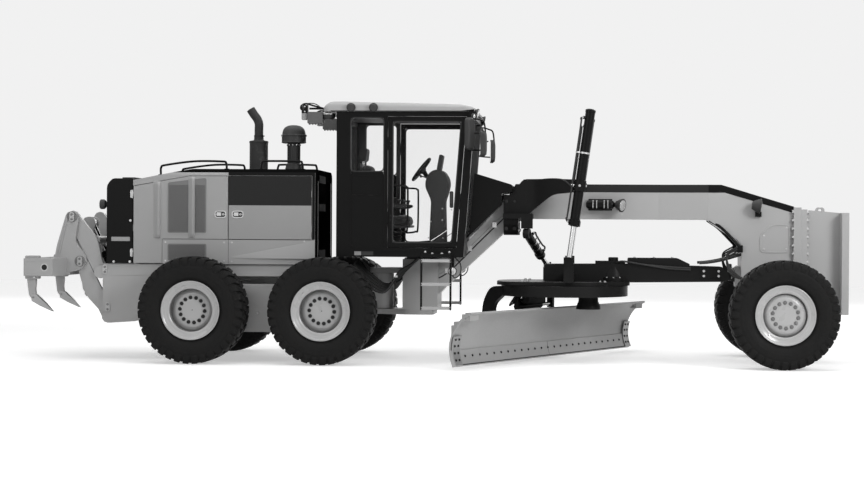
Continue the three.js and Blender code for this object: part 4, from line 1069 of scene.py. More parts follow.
def hoodShell():
    half = hoodSize["half"]
    shell = Shape(hoodPaint).cadCopy("hood")
    shell.repaint(
        mattBlack,
        lambda c, n: n.z > 0.5
        or c.x > -5.553
        or (c.z > hoodSize["bandLevel"] + 0.1 and c.x > -5.6 and n.x > -0.5),
    )
    shell.piece("hood_shell", "rear_unit", "body_paint", 0.006, replaces=["hood"])
    trims = Shape(hoodPaint)
    x0, z0, x1, z1 = hoodSize["lowMesh"]
    for side in sides.values():
        y = side * half
        opening = roundedBox(x0, z0, x1, z1, 0.025)
        rim = roundedBox(x0 - 0.009, z0 - 0.009, x1 + 0.009, z1 + 0.009, 0.03)
        trims.use(meshPaint).plate(opening, "xz", y, y + side * 0.0012)
        trims.use(hoodPaint).loop(rim, opening, "xz", y, y + side * 0.0035)
        trims.absorb(holeField(x0 + 0.016, z0 + 0.015, x1 - 0.014, z1 - 0.008, y + side * 0.0012, side))
        # black front post beside the door, and the band that runs over it
        trims.use(blackPaint).plate(oblong(-5.586, 1.47, -5.552, 2.24), "xz", y, y + side * 0.0015)
        trims.use(blackPaint).plate(oblong(-6.603, 2.238, -5.552, 2.279), "xz", y, y + side * 0.0012)
        trims.use(holeShadeAndSeams).box((-6.6045, y, 1.18), (-6.6005, y + side * 0.0006, 1.46))
        trims.box((-6.6, y, 1.463), (-5.56, y + side * 0.0006, 1.4665))
        # creased wedge along the lower panel, ending in a short return
        trims.use(hoodPaint)
        back, crease, shelf = [], [], []
        for share in (0.0, 0.25, 0.5, 0.75, 1.0):
            x = -6.555 + share * 0.865
            back.append((x, y - side * 0.004, 1.262 + share * 0.165))
            crease.append((x, y + side * 0.0005, 1.262 + share * 0.165))
            shelf.append((x, y + side * (0.0015 + 0.034 * share), 1.246 + 0.004 * share))
        lower = [(x, py - side * 0.004, z - 0.012) for x, py, z in shelf]
        rings = [list(ring) for ring in zip(back, crease, shelf, lower)]
        end = [
            (-5.562, y - side * 0.004, 1.455), (-5.562, y + side * 0.0005, 1.455),
            (-5.562, y + side * 0.001, 1.438), (-5.562, y - side * 0.002, 1.236),
        ]
        trims.rings(rings + [end])
        for x, z in (
            (-7.372, 1.43), (-6.655, 1.43), (-6.655, 1.205), (-7.372, 1.205), (-6.56, 1.43), (-6.56, 1.2),
            (-5.68, 1.448), (-5.64, 1.2),
        ):
            bolt("rear_unit", (x, y, z), (0, side, 0), "tiny")
    # slots of the front bulkhead, drawn as dark plates that are painted shade inside them; stiffening beads
    # and handles
    trims.use(holeShadeAndSeams)
    for z in (2.207, 1.863, 1.3):
        trims.plate(roundedBox(-0.36, z - 0.045, 0.12, z + 0.045, 0.012), "yz", -5.5505, -5.5485)
    trims.use(blackPaint)
    for y in (-0.52, 0.52):
        trims.plate(roundedBox(y - 0.02, 1.25, y + 0.02, 2.18, 0.015), "yz", -5.551, -5.54)
    # fuel filler and service covers on top
    trims.use(blackPlastic).lathe([
        (0.0, 2.318), (0.085, 2.318), (0.085, 2.334), (0.078, 2.34), (0.0, 2.342)
    ], (-5.74, 0.32, 0), (0, 0, 1), 32)
    trims.use(blackPaint).plate(roundedBox(-7.02, -0.36, -6.6, 0.36, 0.04), "xy", 2.319, 2.327)
    build(trims, "hood_trims", "rear_unit", "body_paint")


railPaths = [[
    (-7.466, 2.245), (-7.462, 2.34), (-7.4, 2.368), (-7.056, 2.413), (-6.72, 2.413), (-6.664, 2.395),
    (-6.655, 2.318),
], [(-6.235, 2.318), (-6.222, 2.4), (-6.17, 2.419), (-5.79, 2.417), (-5.735, 2.398), (-5.722, 2.318)]]


def hoodRails():
    rails = Shape(blackPaint)
    for side in sides.values():
        for path in railPaths:
            rails.tube([(x, side * 0.55, z) for x, z in path], 0.0135, 10, 8)
            for x, z in (path[0], path[-1]):
                rails.rod((x, side * 0.55, z - 0.003), (x, side * 0.55, z + 0.008), 0.032, 16)
    build(rails, "hood_handrails", "rear_unit", "black_paint")


stackSize = {"x": -6.37, "radius": 0.118, "foot": 2.3204, "shoulder": 2.69, "pipe": 0.054, "wall": 0.004}


def exhaustStack():
    x, radius, foot, shoulder = (stackSize[k] for k in ("x", "radius", "foot", "shoulder"))
    can = [
        (0.0, foot), (radius - 0.003, foot), (radius, foot + 0.012), (radius, foot + 0.02),
        (radius - 0.004, foot + 0.026), (radius - 0.004, shoulder - 0.03), (radius, shoulder - 0.024),
        (radius + 0.001, shoulder - 0.008), (radius - 0.004, shoulder), (radius - 0.016, shoulder + 0.003),
        (0.07, shoulder + 0.01), (0.06, shoulder + 0.018), (0.058, shoulder + 0.05), (0.0, shoulder + 0.05),
    ]
    stack = Shape(heatPaint).lathe(can, (x, 0, 0), (0, 0, 1), 56)
    points = [
        (x, 0, 2.73), (x, 0, 2.83), (x, 0, 2.905), (x - 0.022, 0, 2.965), (x - 0.062, 0, 3.02),
        (x - 0.105, 0, 3.085),
    ]
    path = smoothPath(points, 7)
    outer, inner = [], []
    for i, point in enumerate(path):
        ahead = (path[min(i + 1, len(path) - 1)] - path[max(i - 1, 0)]).normalized()
        across = Vector((0, 1, 0))
        up = ahead.cross(across)
        for rings, size in ((outer, stackSize["pipe"]), (inner, stackSize["pipe"] - stackSize["wall"])):
            spots = [2 * math.pi * k / 32 for k in range(32)]
            rings.append([point + (across * math.cos(a) + up * math.sin(a)) * size for a in spots])
    stack.rings(outer + list(reversed(inner[-14:])))
    stack.use(darkIron).collar(0.055, 0.06, 2.742, 2.762, (x, 0, 0), (0, 0, 1), 40)
    stack.rod((x + 0.05, -0.04, 2.752), (x + 0.075, -0.02, 2.752), 0.006, 8)
    build(stack, "exhaust_muffler_and_pipe", "rear_unit", "black_paint", replaces=["exhaust_stack"])


cleanerSize = {"x": -5.89, "y": -0.23, "stem": 0.078, "skirt": 0.147, "ribs": 22}


def airCleaner():
    spot = (cleanerSize["x"], cleanerSize["y"], 0)
    stem, skirt = cleanerSize["stem"], cleanerSize["skirt"]
    body = Shape(blackPlastic)
    body.lathe([
        (0.0, 2.3204), (0.105, 2.3204), (0.105, 2.345), (0.098, 2.36), (0.098, 2.392), (0.088, 2.402),
        (stem - 0.004, 2.41), (stem - 0.004, 2.655), (0.0, 2.655),
    ], spot, (0, 0, 1), 40)
    bowl = [
        (0.06, 2.65), (0.125, 2.65), (skirt, 2.655), (skirt + 0.003, 2.658), (skirt + 0.003, 2.668),
        (skirt - 0.001, 2.674), (skirt - 0.002, 2.735), (skirt + 0.003, 2.74), (skirt + 0.003, 2.752),
        (skirt - 0.003, 2.757), (skirt - 0.006, 2.785), (skirt - 0.016, 2.818), (skirt - 0.036, 2.846),
        (skirt - 0.07, 2.866), (skirt - 0.11, 2.874), (0.0, 2.875),
    ]
    body.lathe(bowl, spot, (0, 0, 1), 56)
    rib = Shape(blackPlastic).box(
        (spot[0] + stem - 0.006, spot[1] - 0.004, 2.412), (spot[0] + stem + 0.002, spot[1] + 0.004, 2.615)
    )
    body.absorb(turned(rib, cleanerSize["ribs"], spot, (0, 0, 1)))
    vane = Shape(blackPlastic).box(
        (spot[0] + skirt - 0.006, spot[1] - 0.0025, 2.676),
        (spot[0] + skirt + 0.001, spot[1] + 0.0025, 2.733),
    )
    body.absorb(turned(vane, 36, spot, (0, 0, 1)))
    body.use(darkIron).collar(stem - 0.002, stem + 0.006, 2.618, 2.64, spot, (0, 0, 1), 40)
    stud = Shape(zinc).rod(
        (spot[0] + stem + 0.004, spot[1], 2.629), (spot[0] + stem + 0.01, spot[1], 2.629), 0.0065, 10
    )
    body.absorb(turned(stud, 12, spot, (0, 0, 1)))
    body.use(blackPlastic)
    for sign in (-1, 1):
        body.box((spot[0] + sign * skirt - 0.008, spot[1] - 0.012, 2.735), (
            spot[0] + sign * (skirt + 0.01), spot[1] + 0.012, 2.757
        ))
    build(body, "air_precleaner_bowl", "rear_unit", "matt_plastic", replaces=["air_precleaner"])


def coolingHousing():
    Shape(blackPaint).cadCopy("cooling_housing").piece(
        "cooling_shroud", "rear_unit", "black_paint", 0.006, replaces=["cooling_housing"]
    )
    extras = Shape(blackPaint)
    # rear grille: slats across the recess and a hinged frame
    slat = Shape(blackPaint).box((-8.092, -0.535, 1.318), (-8.068, 0.535, 1.324))
    slat.moved(
        Matrix.Translation((-8.08, 0, 1.321)) @ Matrix.Rotation(
            math.radians(-28), 4, "Y"
        ) @ Matrix.Translation((8.08, 0, -1.321))
    )
    extras.absorb(inRow(slat, 34, (0, 0, 0.0205)))
    for y in (-0.27, 0.0, 0.27):
        extras.box((-8.098, y - 0.01, 1.303), (-8.062, y + 0.01, 2.017))
    extras.loop(
        roundedBox(-0.575, 1.265, 0.575, 2.055, 0.03), roundedBox(-0.535, 1.305, 0.535, 2.015, 0.02), "yz",
        -8.108, -8.096,
    )
    extras.plate(roundedBox(-7.93, -0.6, -7.775, 0.6, 0.015), "xy", 2.2, 2.214)
    for side in sides.values():
        y = side * 0.675
        extras.use(reflector).plate(roundedBox(-8.04, 1.44, -7.812, 1.49, 0.006), "xz", y, y + side * 0.003)
        for z in (2.01, 1.3):
            extras.use(zinc).plate(
                roundedBox(-7.806, z - 0.045, -7.786, z + 0.045, 0.006), "xz", y, y + side * 0.006
            )
            extras.rod((-7.782, side * 0.69, z - 0.05), (-7.782, side * 0.69, z + 0.05), 0.0085, 14)
            extras.box((-7.806, y, z + 0.004), (-7.77, y + side * 0.016, z + 0.028))
        for x, z in ((-8.01, 1.19), (-7.812, 1.19), (-7.806, 1.688)):
            bolt("rear_unit", (x, y, z), (0, side, 0))
        # tail lamp on a short bracket at the corner
        extras.use(blackPaint).box((-8.135, side * 0.6 - 0.03, 1.865), (-8.095, side * 0.6 + 0.03, 1.905))
        extras.use(blackPlastic).lathe([
            (0.0, 0.0), (0.045, 0.0), (0.06, 0.02), (0.06, 0.06), (0.052, 0.066), (0.0, 0.066)
        ], (-8.13, side * 0.6, 1.885), (-1, 0, 0), 28)
        extras.use(lampLens).lathe([
            (0.0, 0.062), (0.052, 0.062), (0.05, 0.07), (0.0, 0.074)
        ], (-8.13, side * 0.6, 1.885), (-1, 0, 0), 28)
    build(extras, "cooling_housing_fittings", "rear_unit", "black_paint", 0.0)


# near-black fill: painted shade inside holes and slots, and the dark seams between panels
holeShadeAndSeams = makePlastic("holeShadeAndSeams", 0.006, 0.8)
meshPaint = coated("meshPaint", 0.2, rough=0.5, coat=0.0, dust=0.3)
doorPaint = coated("doorPaint", 0.36, dust=0.4, coat=0.0, gloss=0.2, black=hoodSize["bandLevel"])
heatPaint = casting("heatPaint", 0.028, 0.6)
reflector = makePlastic("reflectorStrip", 0.34, 0.3, 300)
hoodDoors()
hoodShell()
hoodRails()
exhaustStack()
airCleaner()
coolingHousing()
print("hood made")


cabSize = {
    "rear": -5.29,
    "half": 0.72,
    "floor": 1.27,
    "top": 3.01,
    "frontLow": -3.76,
    "frontHigh": -3.63,
    "doorRear": -4.668,
    "doorSill": 1.385,
    "doorTop": 2.95,
    "hinges": (1.74, 2.63),
    "seal": 0.013,
    "treads": (0.65, 0.935, 1.215),
}


def cabFront(z, inset=0.0):
    share = (z - cabSize["floor"]) / (cabSize["top"] - cabSize["floor"])
    return cabSize["frontLow"] + (cabSize["frontHigh"] - cabSize["frontLow"]) * share - inset


def doorOutline(inset, radius):
    low, high = cabSize["doorSill"] + inset, cabSize["doorTop"] - inset
    rear = cabSize["doorRear"] + inset
    front = 0.095 + inset
    return rounded(
        [(rear, low), (cabFront(low, front), low), (cabFront(high, front), high), (rear, high)], radius, 5
    )


def cabShell():
    shell = Shape(blackPaint).cadCopy("cab", joined=False)
    shell.repaint(
        trimPlastic,
        lambda c, n: abs(c.y) < 0.665
        and 1.3 < c.z < 2.97
        and -5.28 < c.x < cabFront(c.z, 0.02)
        and c.x < -3.6,
    )
    shell.piece("cab_shell", "front_unit", "black_paint", 0.006, replaces=["cab"])
    half = cabSize["half"]
    trims = Shape(blackPaint)
    for side in sides.values():
        y = side * half
        # raised panel and seal round the fixed rear window, dark trim behind its lower half
        pane = roundedBox(-5.112, 2.3, -4.726, 2.93, 0.05, 5)
        trims.use(hoseRubber).loop(
            roundedBox(-5.125, 2.287, -4.713, 2.943, 0.06, 5), pane, "xz", y - side * 0.02, y + side * 0.003
        )
        trims.use(blackPaint).plate(
            oblong(-5.112, 2.012, -4.726, 2.292), "xz", y - side * 0.02, y - side * 0.004
        )
        trims.loop(
            roundedBox(-5.125, 1.375, -4.705, 2.265, 0.03, 4),
            roundedBox(-5.105, 1.395, -4.725, 2.245, 0.02, 4), "xz", y, y + side * 0.005,
        )
        trims.plate(oblong(-5.286, 1.275, -5.27, 3.0), "xz", y, y + side * 0.004)
        trims.box((-5.15, y, 1.335), (-3.86, y + side * 0.004, 1.352))
        # blank rating plate, bolts of the ladder bracket
        trims.use(palePlastic).plate(
            roundedBox(-5.068, 1.288, -4.985, 1.338, 0.005), "xz", y, y + side * 0.0025
        )
        trims.use(blackPlastic).plate(
            roundedBox(-4.98, 1.288, -4.84, 1.338, 0.005), "xz", y, y + side * 0.0022
        )
        for x, z in ((-4.215, 1.335), (-4.13, 1.312), (-4.015, 1.312), (-3.925, 1.335)):
            bolt("front_unit", (x, y, z), (0, side, 0))
        # hinge knuckles of the door
        trims.use(blackPaint)
        for z in cabSize["hinges"]:
            trims.rod((-4.668, y, z - 0.075), (-4.668, y, z + 0.075), 0.009, 24)
            trims.rod((-4.668, y, z - 0.08), (-4.668, y, z - 0.075), 0.007, 12)
        # treads with a raised grip, bolted rails
        for z in cabSize["treads"]:
            near, far = side * 0.768, side * 0.852
            trims.use(stepPaint).box((-4.252, near, z - 0.003), (-3.898, far, z + 0.031))
            grip = Shape(stepPaint).rod(
                (-4.225, side * 0.78, z + 0.031), (-4.225, side * 0.78, z + 0.035), 0.007, 8
            )
            row = Shape(stepPaint).absorb(inRow(grip, 13, (0.0255, 0, 0)))
            trims.absorb(inRow(row, 3, (0, side * 0.026, 0)))
            for x in (-4.25, -3.9):
                trims.use(darkIron).rod((x, side * 0.85, z + 0.014), (x, side * 0.858, z + 0.014), 0.011, 6)
        # step lamp beside the ladder
        trims.use(blackPaint).box((-3.905, side * 0.7, 1.15), (-3.865, side * 0.74, 1.272))
        trims.use(blackPlastic).lathe([
            (0.0, -0.03), (0.035, -0.03), (0.055, 0.0), (0.055, 0.03), (0.0, 0.03)
        ], (-3.885, side * 0.745, 1.105), (0, side, 0), 28)
        trims.use(lampLens).lathe([
            (0.0, 0.026), (0.047, 0.026), (0.045, 0.034), (0.0, 0.038)
        ], (-3.885, side * 0.745, 1.105), (0, side, 0), 28)
    # wiper, gutter over the windscreen and bonnet seam
    trims.use(blackPaint).box((-3.64, -0.7, 2.985), (-3.6, 0.7, 3.004))
    trims.use(blackPlastic).tube([(-3.722, 0.3, 1.52), (-3.7, 0.22, 1.8), (-3.668, 0.1, 2.28)], 0.008, 8)
    trims.box((-3.712, 0.075, 1.95), (-3.648, 0.095, 2.62))
    build(trims, "cab_trims", "front_unit", "black_paint")


def cabDoors():
    half = cabSize["half"]
    for name, side in sides.items():
        node = "cab_door_" + name
        y = side * half
        Shape(blackPaint).cadCopy(node).piece(node + "_frame", node, "black_paint", 0.005, replaces=[node])
        parts = Shape(hoseRubber)
        parts.loop(
            doorOutline(0.052, 0.055), doorOutline(0.066, 0.045), "xz", y - side * 0.021, y + side * 0.003
        )
        parts.use(blackPaint).loop(
            doorOutline(0.012, 0.03), doorOutline(0.022, 0.02), "xz", y, y + side * 0.003
        )
        # outside handle near the front edge, with its lock
        parts.use(blackPlastic).plate(
            roundedBox(-3.925, 1.86, -3.88, 2.06, 0.018), "xz", y, y + side * 0.01
        )
        parts.tube([
            (-3.902, y + side * 0.006, 1.885), (-3.902, y + side * 0.04, 1.9),
            (-3.902, y + side * 0.044, 1.96), (-3.902, y + side * 0.04, 2.02),
            (-3.902, y + side * 0.006, 2.035),
        ], 0.01, 10)
        parts.use(zinc).rod((-3.902, y, 1.84), (-3.902, y + side * 0.009, 1.84), 0.011, 16)
        # grab handle inside: a bent tube on two feet
        inner = y - side * 0.075
        parts.use(blackPaint).tube([
            (-4.6, y - side * 0.028, 1.565), (-4.56, inner, 1.56), (-4.47, inner, 1.575),
            (-4.44, inner, 1.62), (-4.436, inner, 2.06), (-4.45, inner, 2.11), (-4.48, inner, 2.125),
            (-4.6, y - side * 0.028, 2.13),
        ], 0.012, 10, 5)
        for z in cabSize["hinges"]:
            parts.plate(roundedBox(-4.654, z - 0.045, -4.62, z + 0.045, 0.008), "xz", y, y + side * 0.005)
            for dz in (-0.024, 0.024):
                parts.use(darkIron).rod(
                    (-4.637, y + side * 0.004, z + dz), (-4.637, y + side * 0.01, z + dz), 0.008, 6
                )
                parts.use(blackPaint)
        # gas strut across the lower corner
        parts.use(chrome).rod((-4.15, y - side * 0.04, 1.462), (-3.96, y - side * 0.04, 1.59), 0.006, 10)
        parts.use(blackPaint).rod(
            (-4.33, y - side * 0.04, 1.445), (-4.15, y - side * 0.04, 1.462), 0.011, 12
        )
        build(parts, "cab_door_fittings_" + name, node, "black_paint")


roofSize = {"rear": -5.46, "front": -3.62, "eaves": 3.0104, "crown": 3.1395, "half": 0.74}


def cabRoof():
    # a low moulded lid: rounded corners in plan, soft shoulders, tapering to the front
    low, high, half = roofSize["eaves"], roofSize["crown"], roofSize["half"]
    rear, front = roofSize["rear"], roofSize["front"]

    def level(x, z):
        # height of the lid over its length
        fall = max(0.0, (x + 4.15) / (front + 4.15))
        rise = max(0.0, (-5.33 - x) / (-5.33 - rear))
        return low + (z - low) * (1 - 0.52 * fall**1.5) * (1 - 0.4 * rise**2)

    rings = []
    for share, inset in (
        (0.0, 0.004), (0.12, 0.0), (0.55, 0.0), (0.75, 0.01), (0.9, 0.032), (0.975, 0.075), (1.0, 0.14)
    ):
        z = low + (high - low) * share
        plan = roundedBox(rear + inset, -half + inset, front - inset, half - inset, 0.12, 7)
        rings.append([(x, y, level(x, z)) for x, y in plan])
    roof = Shape(roofPaint).rings(rings)
    roof.use(blackPaint)
    for side in sides.values():
        y = side * half
        # drip rail and the dark front corner under the lid
        roof.box((rear + 0.1, y - side * 0.03, low + 0.001), (front - 0.12, y + side * 0.003, low + 0.009))
        roof.plate([
            (-3.86, low + 0.001), (-3.64, low + 0.001), (-3.64, low + 0.028)
        ], "xz", y - side * 0.05, y + side * 0.002)
    build(roof, "cab_roof_lid", "front_unit", "body_paint", 0.0, replaces=["cab_roof"], angle=50)


def workLamp(shape, spot, ahead, radius=0.058, depth=0.075):
    # round lamp: housing, bezel and lens
    spot, ahead = Vector(spot), Vector(ahead).normalized()
    shape.use(blackPlastic).lathe([
        (0.0, -depth), (radius * 0.55, -depth), (radius * 0.85, -depth * 0.5), (radius, -0.012),
        (radius + 0.004, -0.01), (radius + 0.004, 0.004), (radius - 0.006, 0.006), (0.0, 0.004),
    ], spot, ahead, 32)
    shape.use(lampLens).lathe(
        [(0.0, 0.004), (radius - 0.009, 0.004), (radius - 0.014, 0.009), (0.0, 0.013)], spot, ahead, 32
    )
    return shape


def cabLamps():
    gear = Shape(blackPlastic)
    low = roofSize["eaves"]
    for side in sides.values():
        # two side lamps let into the lid, one at each front corner
        for x in (-5.11, -4.84):
            workLamp(gear, (x, side * 0.775, 3.055), (0.15, side, -0.45), 0.05, 0.055)
            gear.use(screenGlass).lathe([
                (0.0, 0.005), (0.048, 0.005), (0.042, 0.013), (0.0, 0.017)
            ], (x, side * 0.775, 3.055), (0.15, side, -0.45), 28)
            gear.use(blackPaint).rod((x, side * 0.73, 3.05), (x, side * 0.76, 3.052), 0.024, 14)
        workLamp(gear, (-3.6, side * 0.66, 2.99), (1.0, side * 0.15, -0.25), 0.055, 0.06)
        gear.use(blackPaint).box((-3.69, side * 0.635, 2.985), (-3.64, side * 0.685, 3.012))
        gear.box((-3.7, side * 0.7, 2.935), (-3.655, side * 0.76, 3.01))
        workLamp(gear, (-3.64, side * 0.745, 2.955), (0.9, side * 0.5, -0.2), 0.036, 0.05)
        # rear cluster: bracket, working lamp, junction box with its glands and a dome lamp
        y = side * 0.6
        gear.use(blackPaint).box((-5.64, y - 0.012, 3.04), (-5.43, y + 0.012, 3.064))
        gear.tube([
            (-5.45, y, 3.05), (-5.6, y, 3.09), (-5.68, y, 3.112), (-5.735, y, 3.09), (-5.742, y, 3.05),
            (-5.712, y, 3.03),
        ], 0.011, 10)
        gear.box((-5.73, y - 0.03, 2.995), (-5.655, y + 0.03, 3.095))
        for z in (3.015, 3.075):
            gear.use(zinc).rod((-5.69, y - side * -0.028, z), (-5.69, y + side * 0.038, z), 0.009, 8)
        workLamp(gear, (-5.722, y, 3.062), (-1.0, side * 0.2, -0.3), 0.04, 0.05)
        gear.use(palePlastic).plate(roundedBox(-5.73, 2.915, -5.668, 3.0, 0.012), "xz", y - 0.03, y + 0.03)
        gear.use(boxPlastic).plate(roundedBox(-5.655, 2.87, -5.47, 3.01, 0.014), "xz", y - 0.055, y + 0.055)
        plug = Shape(boxPlastic).rod((-5.635, y, 2.858), (-5.635, y, 2.872), 0.011, 8)
        gear.absorb(inRow(plug, 5, (0.036, 0, 0)))
        gear.use(blackPlastic).lathe([
            (0.0, -0.07), (0.055, -0.066), (0.075, -0.04), (0.08, 0.0), (0.08, 0.012), (0.0, 0.012)
        ], (-5.4, y, 2.985), (0, 0, 1), 32)
        gear.use(zinc).collar(0.0795, 0.0825, -0.006, 0.006, (-5.4, y, 2.985), (0, 0, 1), 32)
        gear.use(blackPlastic).tube([
            (-5.72, y, 3.095), (-5.64, y - side * 0.02, 3.118), (-5.56, y - side * 0.02, 3.105),
            (-5.47, y, 3.04),
        ], 0.006, 8)
        # mirrors on a stay from the front post
        stay = [
            (-3.7, side * 0.715, 2.9), (-3.64, side * 0.84, 2.915), (-3.56, side * 0.93, 2.9),
            (-3.5, side * 0.955, 2.85), (-3.485, side * 0.955, 2.6), (-3.51, side * 0.94, 2.52),
        ]
        gear.use(blackPaint).tube(stay, 0.01, 10)
        gear.tube([
            (-3.72, side * 0.715, 2.56), (-3.64, side * 0.86, 2.545), (-3.54, side * 0.94, 2.54)
        ], 0.009, 10)
        mirror(gear, (-3.69, side * 0.93, 2.735), 0.135, 0.385, side, 12)
        mirror(gear, (-3.535, side * 0.96, 2.615), 0.11, 0.3, side, -18)
        gear.use(blackPaint).rod((-3.69, side * 0.93, 2.735), (-3.56, side * 0.932, 2.745), 0.009, 10)
    # aerial
    gear.use(blackPlastic).rod((-5.4, 0.35, 3.01), (-5.4, 0.35, 3.138), 0.005, 8)
    build(gear, "cab_lamps_and_mirrors", "front_unit", "matt_plastic")


def mirror(shape, spot, wide, tall, side, turn):
    # a rounded shell that looks rearwards, with its glass on the rear face
    shell = Shape(blackPlastic)
    outline = roundedBox(-wide / 2, -tall / 2, wide / 2, tall / 2, wide * 0.45, 6)
    small = roundedBox(
        -wide / 2 + 0.018, -tall / 2 + 0.018, wide / 2 - 0.018, tall / 2 - 0.018, wide * 0.32, 6
    )
    rings = [
        [(0.0, a, b) for a, b in small], [(0.0, a, b) for a, b in outline],
        [(0.03, a, b) for a, b in outline], [(0.055, a * 0.82, b * 0.88) for a, b in outline],
        [(0.062, a * 0.5, b * 0.6) for a, b in outline],
    ]
    shell.rings([[(0.004, a, b) for a, b in small]] + rings)
    shell.use(mirrorGlass).plate(small, "yz", -0.001, 0.003)
    matrix = Matrix.Translation(spot) @ Matrix.Rotation(math.radians(side * (28 + turn)), 4, "Z")
    shape.absorb(shell.moved(matrix).toMesh("mirror"))


def cabConsole():
    # steering pedestal: boot, column, dash pod, slim display, wheel with three spokes
    pod = Shape(blackPlastic)
    side = [
        (-4.235, 1.3004), (-4.025, 1.3004), (-4.015, 1.42), (-4.03, 1.96), (-3.995, 2.05), (-3.97, 2.17),
        (-3.995, 2.26), (-4.05, 2.33), (-4.15, 2.345), (-4.225, 2.31), (-4.275, 2.22), (-4.278, 2.12),
        (-4.24, 2.04), (-4.205, 1.96), (-4.225, 1.45),
    ]
    rings = []
    for y, grow in ((-0.15, 0.8), (-0.142, 0.93), (-0.1, 1.0), (0.1, 1.0), (0.142, 0.93), (0.15, 0.8)):
        rings.append([(
            -4.12 + (x + 4.12) * grow, y, 1.3004 + (z - 1.3004) * (0.97 + 0.03 * grow)
        ) for x, z in rounded(side, 0.05, 3)])
    pod.rings(rings)
    pod.use(blackPlastic).plate(rounded([
        (-4.14, 2.335), (-4.085, 2.335), (-4.055, 2.52), (-4.105, 2.528)
    ], 0.02, 4), "xz", -0.1, 0.1)
    for x, z in ((-4.23, 1.5), (-4.05, 1.5), (-4.06, 1.72), (-4.06, 1.86), (-4.2, 1.7)):
        for y in (-0.152, 0.152):
            pod.use(zinc).rod((x, y * 0.98, z), (x, y, z), 0.008, 10)
    centre = Vector((-4.335, 0, 2.345))
    wheelAxis = Vector((-0.788, 0, 0.616))
    rim = [(
        0.165 + 0.017 * math.cos(a), 0.017 * math.sin(a)
    ) for a in [2 * math.pi * i / 14 for i in range(14)]]
    pod.use(blackPlastic).lathe(rim, centre, wheelAxis, 56, closed=True)
    for turn in (0, 120, 240):
        spoke = Matrix.Translation(centre) @ Matrix.Rotation(math.radians(turn), 4, wheelAxis)
        across = Vector((0, 1, 0))
        end = across * 0.162
        bar = Shape(blackPlastic).rod(wheelAxis * -0.012, end, 0.013, 12)
        pod.absorb(bar.moved(spoke).toMesh("spoke"))
    pod.lathe(
        [(0.0, -0.05), (0.04, -0.045), (0.052, -0.01), (0.045, 0.012), (0.0, 0.018)], centre, wheelAxis, 28
    )
    pod.use(blackPaint).tube([centre - wheelAxis * 0.04, (-4.27, 0, 2.265), (-4.2, 0, 2.2)], 0.028, 14)
    # levers at both sides of the wheel, pedals on the floor
    for y in (-0.1, 0.1):
        pod.tube([(-4.25, y, 2.235), (-4.33, y * 2.0, 2.262), (-4.36, y * 2.4, 2.27)], 0.007, 8)
        pod.lathe([
            (0.0, -0.02), (0.012, -0.018), (0.014, 0.01), (0.0, 0.016)
        ], (-4.366, y * 2.45, 2.271), (0, 0, 1), 12)
    for y in (-0.2, 0.2):
        pod.plate(
            [(-4.27, 1.305), (-4.15, 1.42), (-4.138, 1.408), (-4.255, 1.301)], "xz", y - 0.04, y + 0.04
        )
    build(pod, "steering_pedestal", "front_unit", "cab_trim", 0.0, replaces=["console"])


roofPaint = coated("roofPaint", 0.42, rough=0.45, coat=0.05, dust=0.2)
stepPaint = coated("stepPaint", 0.5, rough=0.45, coat=0.0, dust=0.6)
boxPlastic = makePlastic("boxPlastic", 0.1, 0.55)
screenGlass = makePlastic("screenGlass", 0.02, 0.12, 900)
cabShell()
cabDoors()
cabRoof()
cabLamps()
cabConsole()
print("cab made")


cushionShapes = {
    # name: (middle, tilt, length, width, height, sewn channels along the length)
    "seat_squab": ((-4.7, 0.0, 1.705), 2.0, 0.5, 0.5, 0.125, (-0.1, 0.09)),
    "seat_back": ((-5.02, 0.0, 2.06), -84.0, 0.66, 0.48, 0.11, (-0.18, 0.0, 0.17)),
}
clothReach = 0.024


def cushion(name):
    spot, tilt, length, width, height, channels = cushionShapes[name]
    rings = []
    for share, inset in ((-0.5, 0.03), (-0.42, 0.008), (0.0, 0.0), (0.42, 0.008), (0.5, 0.03)):
        plan = roundedBox(
            -length / 2 + inset, -width / 2 + inset, length / 2 - inset, width / 2 - inset, 0.09, 6
        )
        rings.append([(x, y, share * height) for x, y in plan])
    block = Shape(seatCloth).rings(rings)
    holder = bpy.data.objects.new(name + "_block", block.toMesh(name))
    scene.collection.objects.link(holder)
    grid = holder.modifiers.new("grid", "REMESH")
    grid.mode, grid.voxel_size = "VOXEL", 0.006
    solid = evaluated(holder)
    holder.modifiers.clear()
    holder.data = solid
    before = [v.co.copy() for v in solid.vertices]
    sewn = []
    for i, co in enumerate(before):
        seam = min(abs(co.x - x) for x in channels) < 0.007 and abs(co.y) < width / 2 - 0.05
        piped = abs(co.z) < 0.006
        if seam or piped:
            sewn.append(i)
    holder.vertex_groups.new(name="sewn").add(sewn, 1.0, "REPLACE")
    cloth = holder.modifiers.new("cloth", "CLOTH")
    cloth.settings.quality = 4
    cloth.settings.use_pressure = True
    cloth.settings.uniform_pressure_force = 4.0
    cloth.settings.vertex_group_mass = "sewn"
    cloth.settings.effector_weights.gravity = 0.0
    cloth.point_cache.frame_end = 20
    for step in range(1, 21):
        scene.frame_set(step)
    solid = evaluated(holder)
    holder.modifiers.clear()
    scene.frame_set(1)
    for vertex, co in zip(solid.vertices, before):
        move = vertex.co - co
        if move.length > clothReach:
            vertex.co = co + move.normalized() * clothReach
    solid.materials.clear()
    solid.materials.append(seatCloth)
    bpy.data.objects.remove(holder)
    solid.transform(toRow @ Matrix.Translation(spot) @ Matrix.Rotation(math.radians(tilt), 4, "Y"))
    piece = finishPiece(solid, name, "front_unit", 0.0, ["seat"], angle=80)


